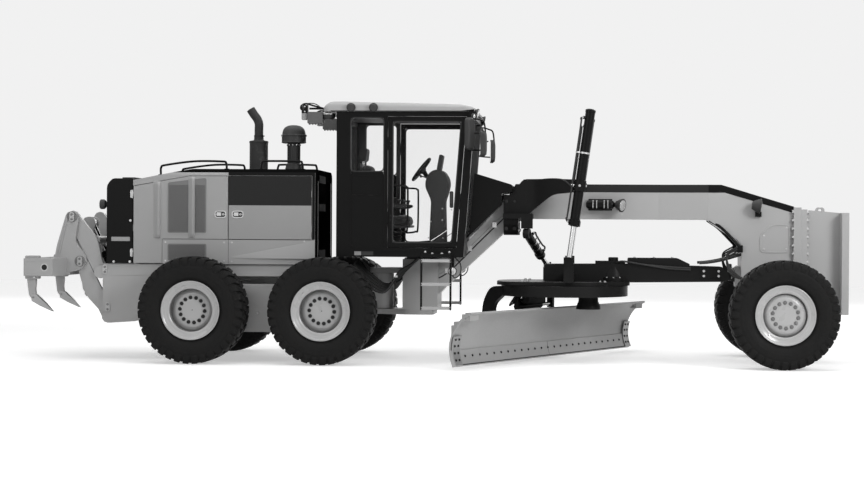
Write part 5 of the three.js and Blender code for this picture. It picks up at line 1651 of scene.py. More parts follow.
def seatFrame():
    frameShape = Shape(blackPlastic)
    pan = rounded([(-4.965, 1.6), (-4.45, 1.625), (-4.438, 1.655), (-4.93, 1.648), (-4.985, 1.64)], 0.02, 3)
    frameShape.plate(pan, "xz", -0.235, 0.235)
    shell = rounded([
        (-5.0, 1.64), (-5.028, 1.64), (-5.092, 2.05), (-5.094, 2.415), (-5.072, 2.415), (-5.066, 2.05)
    ], 0.01, 3)
    frameShape.plate(shell, "xz", -0.225, 0.225)
    bellows = [(0.15, 1.3004), (0.168, 1.33)]
    for i in range(7):
        z = 1.345 + i * 0.036
        bellows += [(0.15, z), (0.172, z + 0.018)]
    bellows += [(0.15, 1.598), (0.14, 1.612)]
    frameShape.use(hoseRubber).lathe(
        [(0.0, 1.3004)] + bellows + [(0.0, 1.612)], (-4.74, 0, 0), (0, 0, 1), 36
    )
    for side in sides.values():
        y = side * 0.335
        arm = rounded([
            (-4.965, 1.85), (-4.52, 1.862), (-4.47, 1.885), (-4.48, 1.912), (-4.955, 1.912), (-4.985, 1.88)
        ], 0.02, 4)
        frameShape.use(blackPlastic).plate(arm, "xz", y - 0.038, y + 0.038)
        frameShape.plate(rounded([
            (-4.99, 1.64), (-4.9, 1.64), (-4.9, 1.852), (-4.975, 1.852)
        ], 0.02, 3), "xz", y - side * 0.075, y - side * 0.045)
        frameShape.rod((-4.94, y - side * 0.06, 1.87), (-4.94, y - side * 0.02, 1.87), 0.02, 16)
        for i in range(3):
            lever = (-4.585 + i * 0.03, y - side * 0.012 + side * i * 0.012, 1.912)
            frameShape.lathe([
                (0.0, 0.0), (0.004, 0.0), (0.004, 0.03), (0.011, 0.034), (0.013, 0.052), (0.0, 0.06)
            ], lever, (0.1, 0, 1), 12)
    frameShape.use(seatCloth).plate(
        rounded([(-5.1, 2.44), (-5.01, 2.44), (-4.995, 2.6), (-5.085, 2.61)], 0.035, 5), "xz", -0.13, 0.13
    )
    for y in (-0.06, 0.06):
        frameShape.use(chrome).rod((-5.06, y, 2.38), (-5.052, y, 2.46), 0.006, 10)
    frameShape.use(hoseRubber).tube(
        [(-5.0, -0.235, 1.66), (-5.01, -0.262, 1.76), (-5.08, -0.262, 1.9)], 0.01, 8
    )
    build(frameShape, "seat_frame", "front_unit", "cab_trim", 0.0, replaces=["seat"])


seatFrame()
for cushionName in cushionShapes:
    cushion(cushionName)
print("seat made")


def gland(shape, start, end, mouth, radius, rod, port=(0, 0, 1)):
    # dress of a cylinder: head collar at the mouth, ports, transfer pipe and clamps
    start, end = Vector(start), Vector(end)
    axis = (end - start).normalized()
    port = (Vector(port) - axis * axis.dot(Vector(port))).normalized()
    shape.use(blackPaint).lathe([
        (rod, mouth - 0.002), (radius + 0.01, mouth - 0.002), (radius + 0.012, mouth - 0.008),
        (radius + 0.012, mouth - 0.07), (radius + 0.002, mouth - 0.076), (rod, mouth - 0.076),
    ], start, axis, 32, closed=True)
    shape.use(hoseRubber).lathe([
        (rod + 0.0005, mouth - 0.002), (rod + 0.012, mouth - 0.002), (rod + 0.006, mouth + 0.008),
        (rod + 0.0005, mouth + 0.008),
    ], start, axis, 28, closed=True)
    for along in (0.1, mouth - 0.045):
        spot = start + axis * along + port * radius
        shape.use(blackPaint).rod(spot - port * 0.006, spot + port * 0.022, 0.019, 12)
        shape.use(zinc).rod(spot + port * 0.022, spot + port * 0.036, 0.014, 6)
    far = start + axis * 0.1 + port * (radius + 0.034)
    near = start + axis * (mouth - 0.045) + port * (radius + 0.034)
    shape.use(hoseRubber).tube([
        near, near - axis * 0.04 + port * 0.018, near - axis * 0.12 + port * 0.006,
        far + axis * 0.1 + port * 0.004, far + axis * 0.03 + port * 0.014, far,
    ], 0.011, 10)
    for share in (0.35, 0.68):
        spot = start + axis * (0.1 + (mouth - 0.2) * share)
        shape.use(zinc).collar(radius, radius + 0.003, -0.01, 0.01, spot, axis, 32)
        shape.rod(spot + port * radius, spot + port * (radius + 0.05), 0.01, 8)
    return shape


def eyeCap(shape, spot, axis, radius, half, finish=None):
    # pin head with a small hex stub in its middle
    spot, axis = Vector(spot), Vector(axis).normalized()
    face = spot + axis * half
    shape.use(finish or blackPaint).lathe(
        [(0.0, 0.0), (radius, 0.0), (radius, 0.01), (radius - 0.003, 0.014), (0.0, 0.014)], face, axis, 28
    )
    shape.use(castShade).rod(face + axis * 0.014, face + axis * 0.022, radius * 0.25, 6)
    return shape


def keeper(shape, body, spot, side, finish):
    # rounded plate over a pin's end, held by two bolts
    x, y, z = spot
    shape.use(finish).plate(
        roundedBox(x - 0.028, z - 0.058, x + 0.028, z + 0.058, 0.026, 5), "xz", y, y + side * 0.01
    )
    for dz in (-0.03, 0.03):
        bolt(body, (x, y + side * 0.01, z + dz), (0, side, 0), "small", castShade)


def ripperDetails():
    beam = Shape(paint).cadCopy("ripper_beam")
    # the shanks below the beam are drawn again, slimmer
    parts = list(beam.mesh.verts) + list(beam.mesh.edges) + list(beam.mesh.faces)
    cut = bmesh.ops.bisect_plane(
        beam.mesh, geom=parts, plane_co=(0, 0, 1.0185), plane_no=(0, 0, 1), clear_inner=True
    )
    rim = [edge for edge in cut["geom_cut"] if isinstance(edge, bmesh.types.BMEdge)]
    bmesh.ops.holes_fill(beam.mesh, edges=rim)
    leg = [
        (-8.94, 1.06), (-8.835, 1.06), (-8.826, 0.95), (-8.836, 0.86), (-8.822, 0.78), (-8.87, 0.742),
        (-8.908, 0.79), (-8.922, 0.9),
    ]
    tip = [
        (-8.884, 0.792), (-8.862, 0.812), (-8.812, 0.795), (-8.7, 0.69), (-8.612, 0.598), (-8.64, 0.603),
        (-8.77, 0.664), (-8.872, 0.722),
    ]
    for y in (-1.09, 0.0, 1.09):
        shank = Shape(paint).plate(rounded(leg, 0.03, 4), "xz", y - 0.03, y + 0.03)
        shank.use(edgeSteel).rings(
            [[(x, y - half * (0.36 if x > -8.7 else 1.0), z) for x, z in tip] for half in (0.036, -0.036)]
        )
        shank.use(castShade).rod((-8.855, y - 0.042, 0.765), (-8.855, y + 0.042, 0.765), 0.01, 12)
        beam.absorb(shank.moved(toRow).toMesh("shank"))
    beam.piece("ripper_beam_casting", bodyOf("ripper_beam"), "body_paint", 0.005, replaces=["ripper_beam"])
    extras = Shape(paint)
    body = bodyOf("ripper_beam")
    for side in sides.values():
        y = side * 1.19
        # end plate of the beam: frame, hole and its bright sleeve; the hole is a dark disc, painted shade
        # inside it
        extras.use(paint).loop(
            roundedBox(-8.94, 1.03, -8.61, 1.22, 0.02), roundedBox(-8.92, 1.05, -8.63, 1.2, 0.02), "xz",
            y - side * 0.001, y + side * 0.004,
        )
        extras.use(holeShadeAndSeams).lathe(oblong(0.0, 0.0, 0.034, 0.001), (-8.7, y, 1.125), (0, side, 0), 24)
        extras.use(zinc).collar(0.034, 0.044, 0.0, 0.004, (-8.7, y, 1.125), (0, side, 0), 28)
        # cheek: stiffening rib, pin heads, keepers
        out = side * 0.64
        extras.use(paint).plate(
            [(-8.7, 1.28), (-8.685, 1.28), (-8.59, 1.7), (-8.606, 1.7)], "xz", out, out + side * 0.01
        )
        for x, z in ((-8.435, 1.19), (-8.535, 1.73)):
            eyeCap(extras, (x, 0, z), (0, side, 0), 0.05, 0.64, castShade)
            extras.use(castShade).collar(0.058, 0.066, 0.0, 0.004, (x, out, z), (0, side, 0), 32)
            keeper(extras, body, (x, out + side * 0.014, z), side, bareShade)
        for low in (0.16, 0.62):
            extras.use(paint).box((-8.664, side * low, 1.235), (-8.556, side * (low + 0.012), 1.3))
    # shank pockets: side plates, wedge pins and a pin across each shank
    for y in (-1.09, 0.0, 1.09):
        for edge in (-1, 1):
            lane = y + edge * 0.039
            extras.use(paint).plate(
                rounded(oblong(-8.948, 0.985, -8.79, 1.262), 0.015, 3), "xz", lane, lane + edge * 0.014
            )
            for z in (1.05, 1.2):
                extras.use(zinc).rod(
                    (-8.88, lane + edge * 0.014, z), (-8.88, lane + edge * 0.024, z), 0.015, 6
                )
        extras.use(zinc).rod((-8.835, y - 0.065, 1.005), (-8.835, y + 0.065, 1.005), 0.011, 16)
    # panels between the shanks, front and back of the beam
    for y0, y1 in ((-1.02, -0.66), (-0.58, -0.08), (0.08, 0.58), (0.66, 1.02)):
        extras.use(paint).loop(
            roundedBox(y0, 1.035, y1, 1.215, 0.02),
            roundedBox(y0 + 0.018, 1.053, y1 - 0.018, 1.197, 0.015),
            "yz", -8.9496, -8.9485,
        )
        extras.loop(
            roundedBox(-8.935, y0, -8.68, y1, 0.02),
            roundedBox(-8.917, y0 + 0.018, -8.698, y1 - 0.018, 0.015),
            "xy", 1.229, 1.235,
        )
    build(extras, "ripper_beam_fittings", body, "body_paint", 0.0015)
    links = {
        "ripper_lower_link": ((-8.09, 0.52), (-8.435, 1.19)),
        "ripper_upper_link": ((-8.19, 1.06), (-8.535, 1.73)),
    }
    for node, ends in links.items():
        pins = Shape(blackPaint)
        for side in sides.values():
            for x, z in ends:
                pins.use(grimyIronAndPocketShade).lathe(
                    oblong(0.0, 0.0, 0.05, 0.004), (x, side * 0.594, z), (0, side, 0), 28
                )
                pins.use(zinc).rod(
                    (x + 0.03, side * 0.594, z - 0.045), (x + 0.03, side * 0.604, z - 0.045), 0.006, 6
                )
        build(pins, node + "_pins", bodyOf(node), "cast_iron", 0.0)
    dress = Shape(blackPaint)
    gland(dress, (-7.985, 0, 0.64), (-8.48, 0, 1.67), 0.74, 0.062, 0.037, (-1, 0, 0.3))
    build(dress, "ripper_cylinder_dress", bodyOf("ripper_cylinder_barrel"), "black_paint", 0.0)


def rearFrameDetails():
    extras = Shape(framePaint)
    for side in sides.values():
        y = side * 0.6445
        # flush frame plate under the hood with its bolts, tow pin plate at the tail
        extras.use(framePaint).plate([
            (-8.14, 1.024), (-5.6, 1.024), (-5.56, 1.06), (-5.56, 1.166), (-8.14, 1.166)
        ], "xz", y - side * 0.06, y)
        for x in (-8.11, -6.69, -5.66):
            bolt("rear_unit", (x, y, 1.092), (0, side, 0), "small", castShade)
        extras.plate(rounded([
            (-8.155, 0.58), (-7.86, 0.58), (-7.76, 0.7), (-7.76, 1.022), (-8.155, 1.022)
        ], 0.04, 4), "xz", y - side * 0.03, y - side * 0.004)
        for x, z in ((-8.09, 0.64), (-8.125, 1.095)):
            keeper(extras, "rear_unit", (x, y, z), side, bareShade)
        # brake line sagging between the wheels, held by a clip
        face = side * 0.905
        extras.use(hoseRubber).tube([
            (-7.2, face, 0.985), (-7.0, face, 0.955), (-6.8, face, 0.968), (-6.66, face, 0.95),
            (-6.48, face, 0.966), (-6.3, face, 0.99),
        ], 0.008, 8)
        extras.use(blackPlastic).box((-6.69, face - 0.014, 0.93), (-6.655, face + 0.014, 0.978))
    build(extras, "rear_frame_fittings", "rear_unit", "body_paint", 0.002)
    # case covers and plugs of the tandems
    for name, side in sides.items():
        node = "tandem_case_" + name
        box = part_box(node)
        y = box[1][1] if side > 0 else box[0][1]
        middleX = (box[0][0] + box[1][0]) / 2 - axleX
        case = Shape(framePaint)
        for dx in (-0.34, 0.34):
            case.use(framePaint).plate(
                roundedBox(middleX + dx - 0.15, 0.5, middleX + dx + 0.15, 0.78, 0.03),
                "xz", y - side * 0.002, y + side * 0.008,
            )
            for x, z in ((-0.12, 0.53), (0.12, 0.53), (-0.12, 0.75), (0.12, 0.75)):
                bolt(bodyOf(node), (middleX + dx + x, y + side * 0.008, z), (0, side, 0))
        case.use(castShade).rod((middleX, y, 0.6), (middleX, y + side * 0.014, 0.6), 0.022, 6)
        build(case, node + "_covers", bodyOf(node), "body_paint", 0.002)


def boomDetails():
    extras = Shape(paint)
    for side in sides.values():
        # the boom widens evenly into the nose, and its dark top band runs down the slope
        flare = []
        for x, reach in ((-1.42, 0.1695), (-0.8195, 0.2546)):
            flare.append([
                (x, side * 0.15, 1.7405), (x, side * reach, 1.7405), (x, side * reach, 2.1645),
                (x, side * 0.15, 2.1645),
            ])
        extras.use(boomPaint).rings(flare)
        band = [
            (-0.819, 2.068), (-0.745, 2.068), (-0.68, 2.085), (0.205, 1.826), (0.205, 1.904),
            (-0.665, 2.163), (-0.819, 2.163),
        ]
        extras.use(blackPaint).plate(band, "xz", side * 0.2545, side * 0.2568)
        extras.plate(
            [(-0.66, 2.1595), (0.2, 1.9025), (0.2, 1.9045), (-0.664, 2.1638)], "xz", 0, side * 0.2568
        )
        # drawbar hoses come out of the nose
        for i in range(2):
            out = side * (0.18 + 0.036 * i)
            extras.use(hoseRubber).tube([
                (-0.395, out, 1.33), (-0.47, out, 1.305), (-0.64, out, 1.255), (-0.8, out, 1.225),
                (-0.92, out, 1.215),
            ], 0.017, 10)
        # flange bolts either side of the joint, then the weight plate
        for x, way in ((0.2, -1), (0.36, 1)):
            boltRow(
                "front_unit", (x, side * 0.285, 1.235), (x, side * 0.285, 1.84), 7, (way, 0, 0), "large"
            )
        y = side * 0.255
        cover = rounded([(-0.2, 1.345), (0.16, 1.345), (0.16, 1.69), (-0.06, 1.69), (-0.2, 1.56)], 0.06, 6)
        inner = rounded(
            [(-0.185, 1.36), (0.145, 1.36), (0.145, 1.675), (-0.052, 1.675), (-0.185, 1.552)], 0.05, 6
        )
        extras.use(paint).loop(cover, inner, "xz", y, y + side * 0.007)
        for x, z in ((-0.15, 1.39), (0.12, 1.39), (0.12, 1.65), (-0.15, 1.55)):
            bolt("front_unit", (x, y, z), (0, side, 0))
        # work lamp on the nose with its bracket
        extras.use(blackPaint).box((-0.26, side * 0.256, 1.78), (-0.185, side * 0.3, 1.84))
        workLamp(extras, (-0.205, side * 0.36, 1.905), (1.0, 0, -0.15), 0.085, 0.1)
        extras.use(blackPaint).tube([
            (-0.225, side * 0.29, 1.83), (-0.235, side * 0.345, 1.845), (-0.24, side * 0.36, 1.88)
        ], 0.012, 8)
        # hose carrier under the nose, ending in a plate
        extras.use(blackPaint).tube([
            (-0.8, side * 0.2, 1.735), (-0.66, side * 0.27, 1.64), (-0.52, side * 0.285, 1.5),
            (-0.445, side * 0.285, 1.42),
        ], 0.018, 10)
        extras.plate(roundedBox(-0.48, 1.345, -0.405, 1.435, 0.012), "xz", side * 0.262, side * 0.3)
        for i in range(3):
            z = 1.362 + i * 0.026
            extras.use(hoseRubber).tube([
                (-0.47, side * (0.29 + i * 0.006), z), (-0.6, side * 0.31, z - 0.1),
                (-0.52, side * 0.33, z - 0.3), (-0.2, side * 0.33, 0.98 - i * 0.03),
                (-0.05, side * 0.3, 0.8),
            ], 0.01, 8)
        # pipes and clips down the neck
        edge = side * 0.172
        neck = [(-4.3, edge, 0.98), (-4.02, edge, 1.09), (-3.6, edge, 1.5), (-3.26, edge, 1.83)]
        for i in range(2):
            path = [(x + 0.02 * i, y2, z - 0.026 * i) for x, y2, z in neck]
            extras.use(hoseRubber if i else boomPaint).tube(path, 0.008, 8)
        for x, z in ((-4.0, 1.1), (-3.72, 1.375), (-3.42, 1.665)):
            extras.use(zinc).plate(
                roundedBox(x - 0.022, z - 0.034, x + 0.03, z + 0.03, 0.006), "xz", side * 0.17, side * 0.184
            )
            bolt("front_unit", (x, side * 0.184, z + 0.018), (0, side, 0), "tiny")
        # hoses across the hitch, from under the cab to the neck
        for i in range(5):
            lift = 0.035 * i
            out = side * (0.3 + 0.045 * i)
            extras.use(hoseRubber).tube([
                (-5.1, out, 1.22 - lift * 0.3), (-4.92, out + side * 0.05, 1.06 - lift),
                (-4.72, out + side * 0.05, 0.93 - lift * 0.6), (-4.55, out, 1.03 + lift * 0.4),
                (-4.42, out - side * 0.04, 1.17), (-4.33, out - side * 0.06, 1.255),
            ], 0.016, 10)
        extras.use(zinc).box((-4.6, side * 0.32, 1.02), (-4.57, side * 0.52, 1.045))
        # wiring loop beside the ladder
        extras.use(hoseRubber).tube([
            (-3.87, side * 0.6, 1.27), (-3.8, side * 0.62, 1.19), (-3.8, side * 0.6, 1.08),
            (-3.86, side * 0.6, 1.02), (-3.9, side * 0.66, 1.06),
        ], 0.007, 8)
        # plug in the boom's side
        extras.use(zinc).rod((-1.86, side * 0.17, 1.8), (-1.86, side * 0.176, 1.8), 0.012, 6)
    # lifting eye on the push block, push plate ribs
    extras.use(paint).loop(
        rounded([(0.49, 1.82), (0.61, 1.82), (0.6, 1.9), (0.5, 1.9)], 0.03, 5),
        rounded(oblong(0.53, 1.85, 0.57, 1.88), 0.012, 5), "xz", -0.018, 0.018,
    )
    for y in (-0.2, 0.0, 0.2):
        extras.box((0.74, y - 0.014, 0.7), (0.756, y + 0.014, 1.78))
    build(extras, "boom_fittings", "front_unit", "body_paint", 0.0015)


def liftDetails():
    for name, side in sides.items():
        y = side * 0.8
        dress = Shape(blackPaint)
        top, eye = Vector((-2.375, y, 2.13)), Vector((-2.5, y, 1.23))
        axis = (eye - top).normalized()
        start = top - axis * 0.905
        gland(dress, start, eye, 1.385, 0.058, 0.033, (-1, side * 0.35, 0))
        dress.use(blackPaint).lathe([
            (0.0, -0.012), (0.04, -0.012), (0.062, 0.0), (0.062, 0.03), (0.058, 0.034), (0.0, 0.034)
        ], start, axis, 32)
        dress.lathe(
            [(0.058, -0.07), (0.072, -0.066), (0.072, 0.066), (0.058, 0.07)], top, axis, 32, closed=True
        )
        dress.use(zinc).rod((top.x, y + side * 0.07, top.z), (top.x, y + side * 0.082, top.z), 0.016, 6)
        build(dress, "lift_barrel_dress_" + name, bodyOf("lift_barrel_" + name), "black_paint", 0.0)
        tip = Shape(blackPaint)
        tip.lathe([
            (0.0, -0.004), (0.052, -0.004), (0.055, 0.0), (0.055, 0.012), (0.0, 0.016)
        ], (-2.5, y + side * 0.05, 1.23), (0, side, 0), 28)
        build(tip, "lift_rod_cap_" + name, bodyOf("lift_rod_" + name), "black_paint", 0.0)
    extras = Shape(gearPaint)
    for side in sides.values():
        # accumulators beside the boom, with clamp straps and bright studs
        y = side * 0.3
        extras.use(blackPaint).lathe([
            (0.0, -0.175), (0.03, -0.172), (0.05, -0.15), (0.055, -0.12), (0.055, 0.12), (0.05, 0.15),
            (0.026, 0.172), (0.022, 0.2), (0.0, 0.2),
        ], (-2.125, y, 1.915), (1, 0, 0), 32)
        extras.use(gearPaint).box((-2.27, side * 0.176, 1.845), (-1.98, side * 0.25, 1.985))
        for x in (-2.215, -2.17, -2.08, -2.035):
            extras.use(zinc).rod((x, side * 0.352, 1.872), (x, side * 0.352, 1.958), 0.006, 8)
            extras.rod((x, side * 0.352, 1.958), (x, side * 0.352, 1.968), 0.011, 6)
        # work lamp on its bracket
        extras.use(blackPaint).box((-1.93, side * 0.176, 1.86), (-1.88, side * 0.34, 1.885))
        workLamp(extras, (-1.86, side * 0.37, 1.905), (1.0, side * 0.6, -0.2), 0.078, 0.085)
        # head bolts of the saddle and hoses over its arm
        boltRow("front_unit", (-3.12, side * 0.24, 1.6), (-3.12, side * 0.24, 1.95), 3, (1, 0, 0), "medium")
        outer = side * 0.322
        for x, z in ((-3.265, 1.62), (-3.165, 1.62), (-3.265, 1.95), (-3.165, 1.95)):
            bolt("front_unit", (x, outer, z), (0, side, 0), "medium", darkIron)
        for i in range(3):
            lift = i * 0.028
            extras.use(hoseRubber).tube([
                (-2.98, side * (0.24 + lift), 2.175), (-2.8, side * (0.4 + lift), 2.215),
                (-2.58, side * (0.58 + lift), 2.205), (-2.47, side * (0.68 + lift), 2.12),
            ], 0.01, 8)
        # yoke: cast ring round the barrel's trunnion and its cap bolts
        extras.use(gearPaint).lathe(
            [(0.05, -0.014), (0.088, -0.012), (0.088, 0.0), (0.05, 0.002)],
            (-2.375, side * 0.733, 2.13), (0, side, 0), 32, closed=True,
        )
        boltRing("front_unit", (-2.375, side * 0.733, 2.13), (0, side, 0), 0.072, 6, "small")
    build(extras, "saddle_fittings", "front_unit", "black_paint", 0.0015)
    shift = Shape(blackPaint)
    gland(shift, (-3.01, -0.42, 1.56), (-2.78, 0.33, 1.16), 0.6, 0.05, 0.03, (0.6, -0.3, 1))
    build(shift, "shift_barrel_dress", bodyOf("shift_barrel"), "black_paint", 0.0)


circleSize = {"x": -2.56, "turn": -29, "teeth": 54}
circleTurn = Matrix.Rotation(math.radians(circleSize["turn"]), 4, "Z")
circlePlace = Matrix.Translation((circleSize["x"], 0, 0)) @ circleTurn
bladeSize = {
    "edge": (-0.175, 0.05), "rise": (0.235, 0.6), "radius": 0.43, "low": -2.195, "high": 2.075, "bolts": 25
}


def bladePoint(share, inward):
    # a point on the hollow face of the blade, moved towards the middle of its curve
    x, z = bladeSize["edge"]
    rise, height = bladeSize["rise"]
    radius = bladeSize["radius"]
    chord = math.hypot(rise, height)
    sag = math.sqrt(radius**2 - (chord / 2) ** 2)
    mx, mz = x + rise / 2 + sag * height / chord, z + height / 2 - sag * rise / chord
    first = math.atan2(z - mz, x - mx) % (2 * math.pi)
    last = math.atan2(z + height - mz, x + rise - mx) % (2 * math.pi)
    turn = first + (last - first) * share
    return Vector(
        (mx + (radius - inward) * math.cos(turn), 0, mz + (radius - inward) * math.sin(turn))
    ), Vector((-math.cos(turn), 0, -math.sin(turn)))


def bladeStrip(shape, shares, front, back, y0, y1):
    # a strip that follows the hollow face from y0 to y1, between two depths
    rings = []
    for share in shares:
        outer, inner = bladePoint(share, front)[0], bladePoint(share, back)[0]
        rings.append(
            [(spot.x, y, spot.z) for spot, y in ((inner, y0), (outer, y0), (outer, y1), (inner, y1))]
        )
    shape.rings(rings)


def bladeDetails():
    body = bodyOf("moldboard")
    low, high = bladeSize["low"], bladeSize["high"]

    def boltAt(y, share, inward, kind="medium"):
        spot, way = bladePoint(share, inward)
        spot.y = y
        bolt(body, circlePlace @ spot, circlePlace.to_3x3() @ way, kind, darkIron)

    count = bladeSize["bolts"]
    for i in range(count):
        boltAt(low + 0.26 + i * (high - low - 0.52) / (count - 1), 0.15, 0.018, "small")
    edge = Shape(edgeSteel)
    for y0, y1, top in ((low, low + 0.15, 0.5), (high - 0.15, high, 0.5)):
        # end bit: a bent plate over the corner, taller than the cutting edge
        bladeStrip(edge, [i / 10 * top for i in range(11)], 0.03, 0.0175, y0, y1)
        for share in (0.09, 0.21, 0.33, 0.44):
            for y in (y0 + 0.04, y1 - 0.04):
                boltAt(y, share, 0.03, "small")
    # worn lower lip of the cutting edge, joints between its sections
    bladeStrip(edge.use(grimyIronAndPocketShade), (0.0, 0.02, 0.04, 0.06), 0.0188, 0.0175, low + 0.15, high - 0.15)
    for y in (low + 0.15, (low + high) / 2, high - 0.15):
        bladeStrip(edge.use(holeShadeAndSeams), (0.0, 0.08, 0.16, 0.26), 0.0192, 0.016, y - 0.002, y + 0.002)
    # stiffener along the top and boxy corner brackets behind it
    top, way = bladePoint(1.0, 0.0)
    edge.use(paint)
    for y0, y1 in ((low + 0.02, low + 0.2), (high - 0.2, high - 0.02)):
        edge.box((top.x - 0.145, y0, top.z - 0.075), (top.x - 0.034, y1, top.z - 0.004))
        edge.box((top.x - 0.125, y0 + 0.04, top.z - 0.004), (top.x - 0.05, y1 - 0.04, top.z + 0.012))
    for y in [low + 0.35 + i * 0.28 for i in range(13)]:
        for share in (0.62, 0.9):
            spot, way = bladePoint(share, -0.024)
            spot.y = y
            bolt(body, circlePlace @ spot, circlePlace.to_3x3() @ -way, "tiny", darkIron)
    edge.moved(circlePlace)
    build(edge, "blade_edge_fittings", body, "wear_steel", 0.0)
    # gear teeth inside the circle, wear strips, hoses to the side-shift cylinder
    ring = Shape(gearPaint)
    tooth = Shape(iron).plate(
        [(0.575, -0.019), (0.575, 0.019), (0.612, 0.03), (0.612, -0.03)], "xy", 0.806, 0.868
    )
    ring.absorb(turned(tooth, circleSize["teeth"], (0, 0, 0), (0, 0, 1)))
    ring.use(gearPaint).collar(0.7, 0.76, 0.9305, 0.934, (0, 0, 0), (0, 0, 1), 72)
    ring.use(gearPaint).lathe([
        (0.0, 0.0), (0.15, 0.0), (0.15, 0.03), (0.12, 0.1), (0.12, 0.155), (0.0, 0.155)
    ], (0.34, 0.0, 0.64), (0, 0, 1), 36)
    ring.use(blackPaint).rod((-0.44, -0.4, 0.66), (-0.44, 0.16, 0.672), 0.044, 28)
    ring.use(chrome).rod((-0.44, 0.16, 0.672), (-0.44, 0.42, 0.678), 0.024, 20)
    ring.use(gearPaint).box((-0.48, 0.4, 0.63), (-0.4, 0.45, 0.79))
    ring.box((-0.47, -0.41, 0.64), (-0.41, -0.36, 0.79))
    ring.box((-0.4, -0.34, 0.7), (-0.3, 0.06, 0.79))
    for i in range(7):
        y = -0.32 + 0.055 * i
        z = 0.7 + 0.035 * (i % 2)
        ring.use(zinc).rod((-0.4, y, z + 0.02), (-0.42, y, z + 0.02), 0.012, 6)
        ring.use(hoseRubber).tube([
            (-0.415, y, z + 0.02), (-0.5, y * 1.2, z), (-0.5, y * 1.4 - 0.02, z - 0.02),
            (-0.44, y * 1.3 - 0.03, 0.785),
        ], 0.011, 8)
    ring.moved(circlePlace)
    build(ring, "circle_teeth_and_hoses", bodyOf("circle"), "cast_iron", 0.0)


def drawbarDetails():
    body = bodyOf("drawbar")
    extras = Shape(gearPaint)
    # raised cover over the drive, with the motor and its hoses
    cover = rounded([(-1.785, 1.18), (-1.785, 1.272), (-1.18, 1.272), (-1.03, 1.2), (-1.03, 1.18)], 0.02, 3)
    extras.plate(cover, "xz", -0.105, 0.105)
    extras.box((-2.18, -0.08, 1.19), (-1.815, 0.08, 1.232))
    for x in (-1.7, -1.46, -1.24):
        for side in sides.values():
            bolt(body, (x, side * 0.08, 1.272), (0, 0, 1))
    extras.use(gearPaint).lathe([
        (0.0, 0.0), (0.17, 0.0), (0.17, 0.045), (0.15, 0.055), (0.12, 0.15), (0.12, 0.185), (0.0, 0.185)
    ], (-1.96, 0.0, 0.981), (0, 0, 1), 40)
    boltRing(body, (-1.96, 0.0, 1.026), (0, 0, 1), 0.158, 12, "small")
    extras.use(blackPaint).lathe([
        (0.0, 0.0), (0.062, 0.0), (0.062, 0.1), (0.055, 0.11), (0.0, 0.11)
    ], (-1.96, 0.0, 1.166), (0, 0, 1), 28)
    for side in sides.values():
        for i in range(2):
            extras.use(hoseRubber).tube([
                (-1.95, side * (0.05 + 0.02 * i), 1.205), (-1.84, side * (0.13 + 0.02 * i), 1.225),
                (-1.62, side * (0.145 + 0.015 * i), 1.195), (-1.3, side * 0.14, 1.165 - 0.02 * i),
                (-1.02, side * 0.132, 1.15 - 0.02 * i),
            ], 0.011, 8)
        # strap plates and bolts on the beam's sides
        extras.use(gearPaint).plate(rounded([
            (-0.9, 1.02), (-0.64, 1.04), (-0.64, 1.13), (-0.9, 1.15)
        ], 0.02, 3), "xz", side * 0.115, side * 0.125)
        for x in (-0.86, -0.68):
            boltRow(body, (x, side * 0.125, 1.055), (x, side * 0.125, 1.115), 2, (0, side, 0), "small")
    # adjusting bolts of the guides that hold the circle
    for degrees in (45, 135, 225, 315):
        turn = math.radians(degrees)
        boltRow(
            body,
            (-2.56 + 0.7 * math.cos(turn), 0.7 * math.sin(turn), 0.981),
            (-2.56 + 0.62 * math.cos(turn), 0.62 * math.sin(turn), 0.981),
            2, (0, 0, 1), "medium",
        )
    boltRing(body, (-0.52, 0.0, 1.1), (1, 0, 0), 0.088, 8, "small")
    extras.use(gearPaint).lathe([
        (0.0, 0.0), (0.105, 0.0), (0.105, 0.03), (0.085, 0.034), (0.0, 0.034)
    ], (-0.554, 0.0, 1.1), (1, 0, 0), 36)
    build(extras, "drawbar_fittings", body, "black_paint", 0.0015)


def axleDetails():
    extras = Shape(gearPaint)
    body = bodyOf("front_axle")
    for side in sides.values():
        extras.use(gearPaint).box((-0.104, side * 0.1, 0.7), (-0.098, side * 0.4, 0.73))
        for i in range(3):
            extras.use(hoseRubber).tube([
                (-0.106, side * 0.1, 0.78 - 0.02 * i), (-0.13, side * 0.26, 0.76 - 0.02 * i),
                (-0.12, side * 0.42, 0.7 - 0.02 * i),
            ], 0.009, 8)
        boltRow(body, (-0.1, side * 0.22, 0.64), (-0.1, side * 0.44, 0.63), 3, (-1, 0, 0), "small")
        boltRow(body, (0.1, side * 0.22, 0.64), (0.1, side * 0.44, 0.63), 3, (1, 0, 0), "small")
    extras.use(grimyIronAndPocketShade).lathe(oblong(0.0, 0.0, 0.085, 0.012), (0.112, 0, 0.9), (1, 0, 0), 32)
    build(extras, "front_axle_fittings", body, "black_paint", 0.001)


ripperDetails()
rearFrameDetails()
boomDetails()
liftDetails()
bladeDetails()
drawbarDetails()
axleDetails()
print("working gear made")


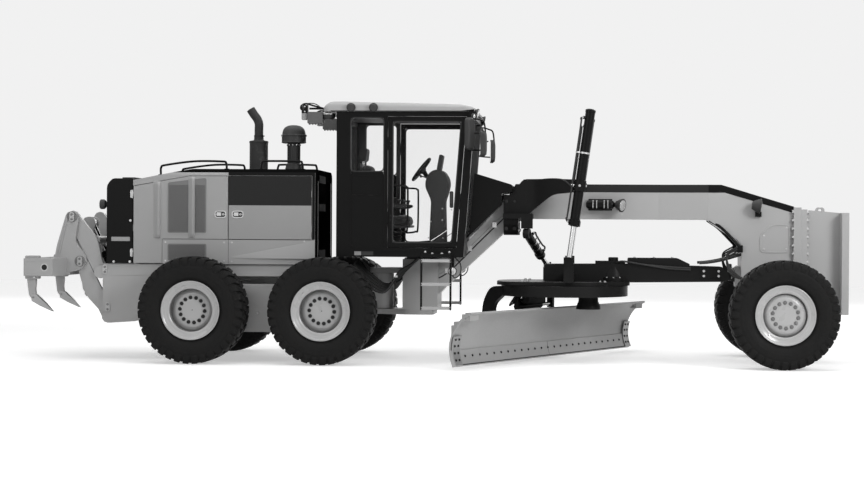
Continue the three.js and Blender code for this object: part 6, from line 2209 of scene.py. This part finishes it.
# sheet metal, castings and bars: each solid is drawn again with rounded edges
skins = {
    # node: (finish, slot, edge radius)
    "rear_frame": (framePaint, "body_paint", 0.006),
    "engine": (darkIron, "cast_iron", 0.006),
    "tandem_case_right": (framePaint, "body_paint", 0.01),
    "tandem_case_left": (framePaint, "body_paint", 0.01),
    "ripper_upper_link": (paint, "body_paint", 0.005),
    "ripper_lower_link": (paint, "body_paint", 0.005),
    "ripper_cylinder_barrel": (blackPaint, "black_paint", 0.0),
    "ripper_cylinder_rod": (chrome, "chrome", 0.0),
    "front_frame": (boomPaint, "body_paint", 0.006),
    "push_block": (paint, "body_paint", 0.005),
    "windscreen": (cabGlass, "glass", 0.0),
    "rear_window": (cabGlass, "glass", 0.0),
    "side_window_right": (cabGlass, "glass", 0.0),
    "side_window_left": (cabGlass, "glass", 0.0),
    "door_glass_right": (cabGlass, "glass", 0.0),
    "door_glass_left": (cabGlass, "glass", 0.0),
    "front_axle": (gearPaint, "black_paint", 0.008),
    "lean_bar": (gearPaint, "black_paint", 0.004),
    "lean_casting_right": (gearPaint, "black_paint", 0.006),
    "lean_casting_left": (gearPaint, "black_paint", 0.006),
    "steering_knuckle_right": (gearPaint, "black_paint", 0.006),
    "steering_knuckle_left": (gearPaint, "black_paint", 0.006),
    "lift_saddle": (gearPaint, "black_paint", 0.006),
    "lift_barrel_right": (blackPaint, "black_paint", 0.0),
    "lift_barrel_left": (blackPaint, "black_paint", 0.0),
    "lift_rod_right": (chrome, "chrome", 0.0),
    "lift_rod_left": (chrome, "chrome", 0.0),
    "shift_barrel": (gearPaint, "black_paint", 0.0),
    "shift_rod": (chrome, "chrome", 0.0),
    "drawbar": (gearPaint, "black_paint", 0.006),
    "circle": (gearPaint, "black_paint", 0.005),
    "blade_bracket": (gearPaint, "black_paint", 0.005),
    "moldboard": (bladeFace, "wear_steel", 0.003),
}
for node, (finish, slot, edge) in skins.items():
    Shape(finish).cadCopy(node, node != "rear_frame").piece(
        node + "_body", bodyOf(node), slot, edge, replaces=[node]
    )
print("solids rounded")

for body, bolts in boltBins.items():
    build(bolts, "bolts_" + body, body, "zinc_steel")
print("bolts gathered")
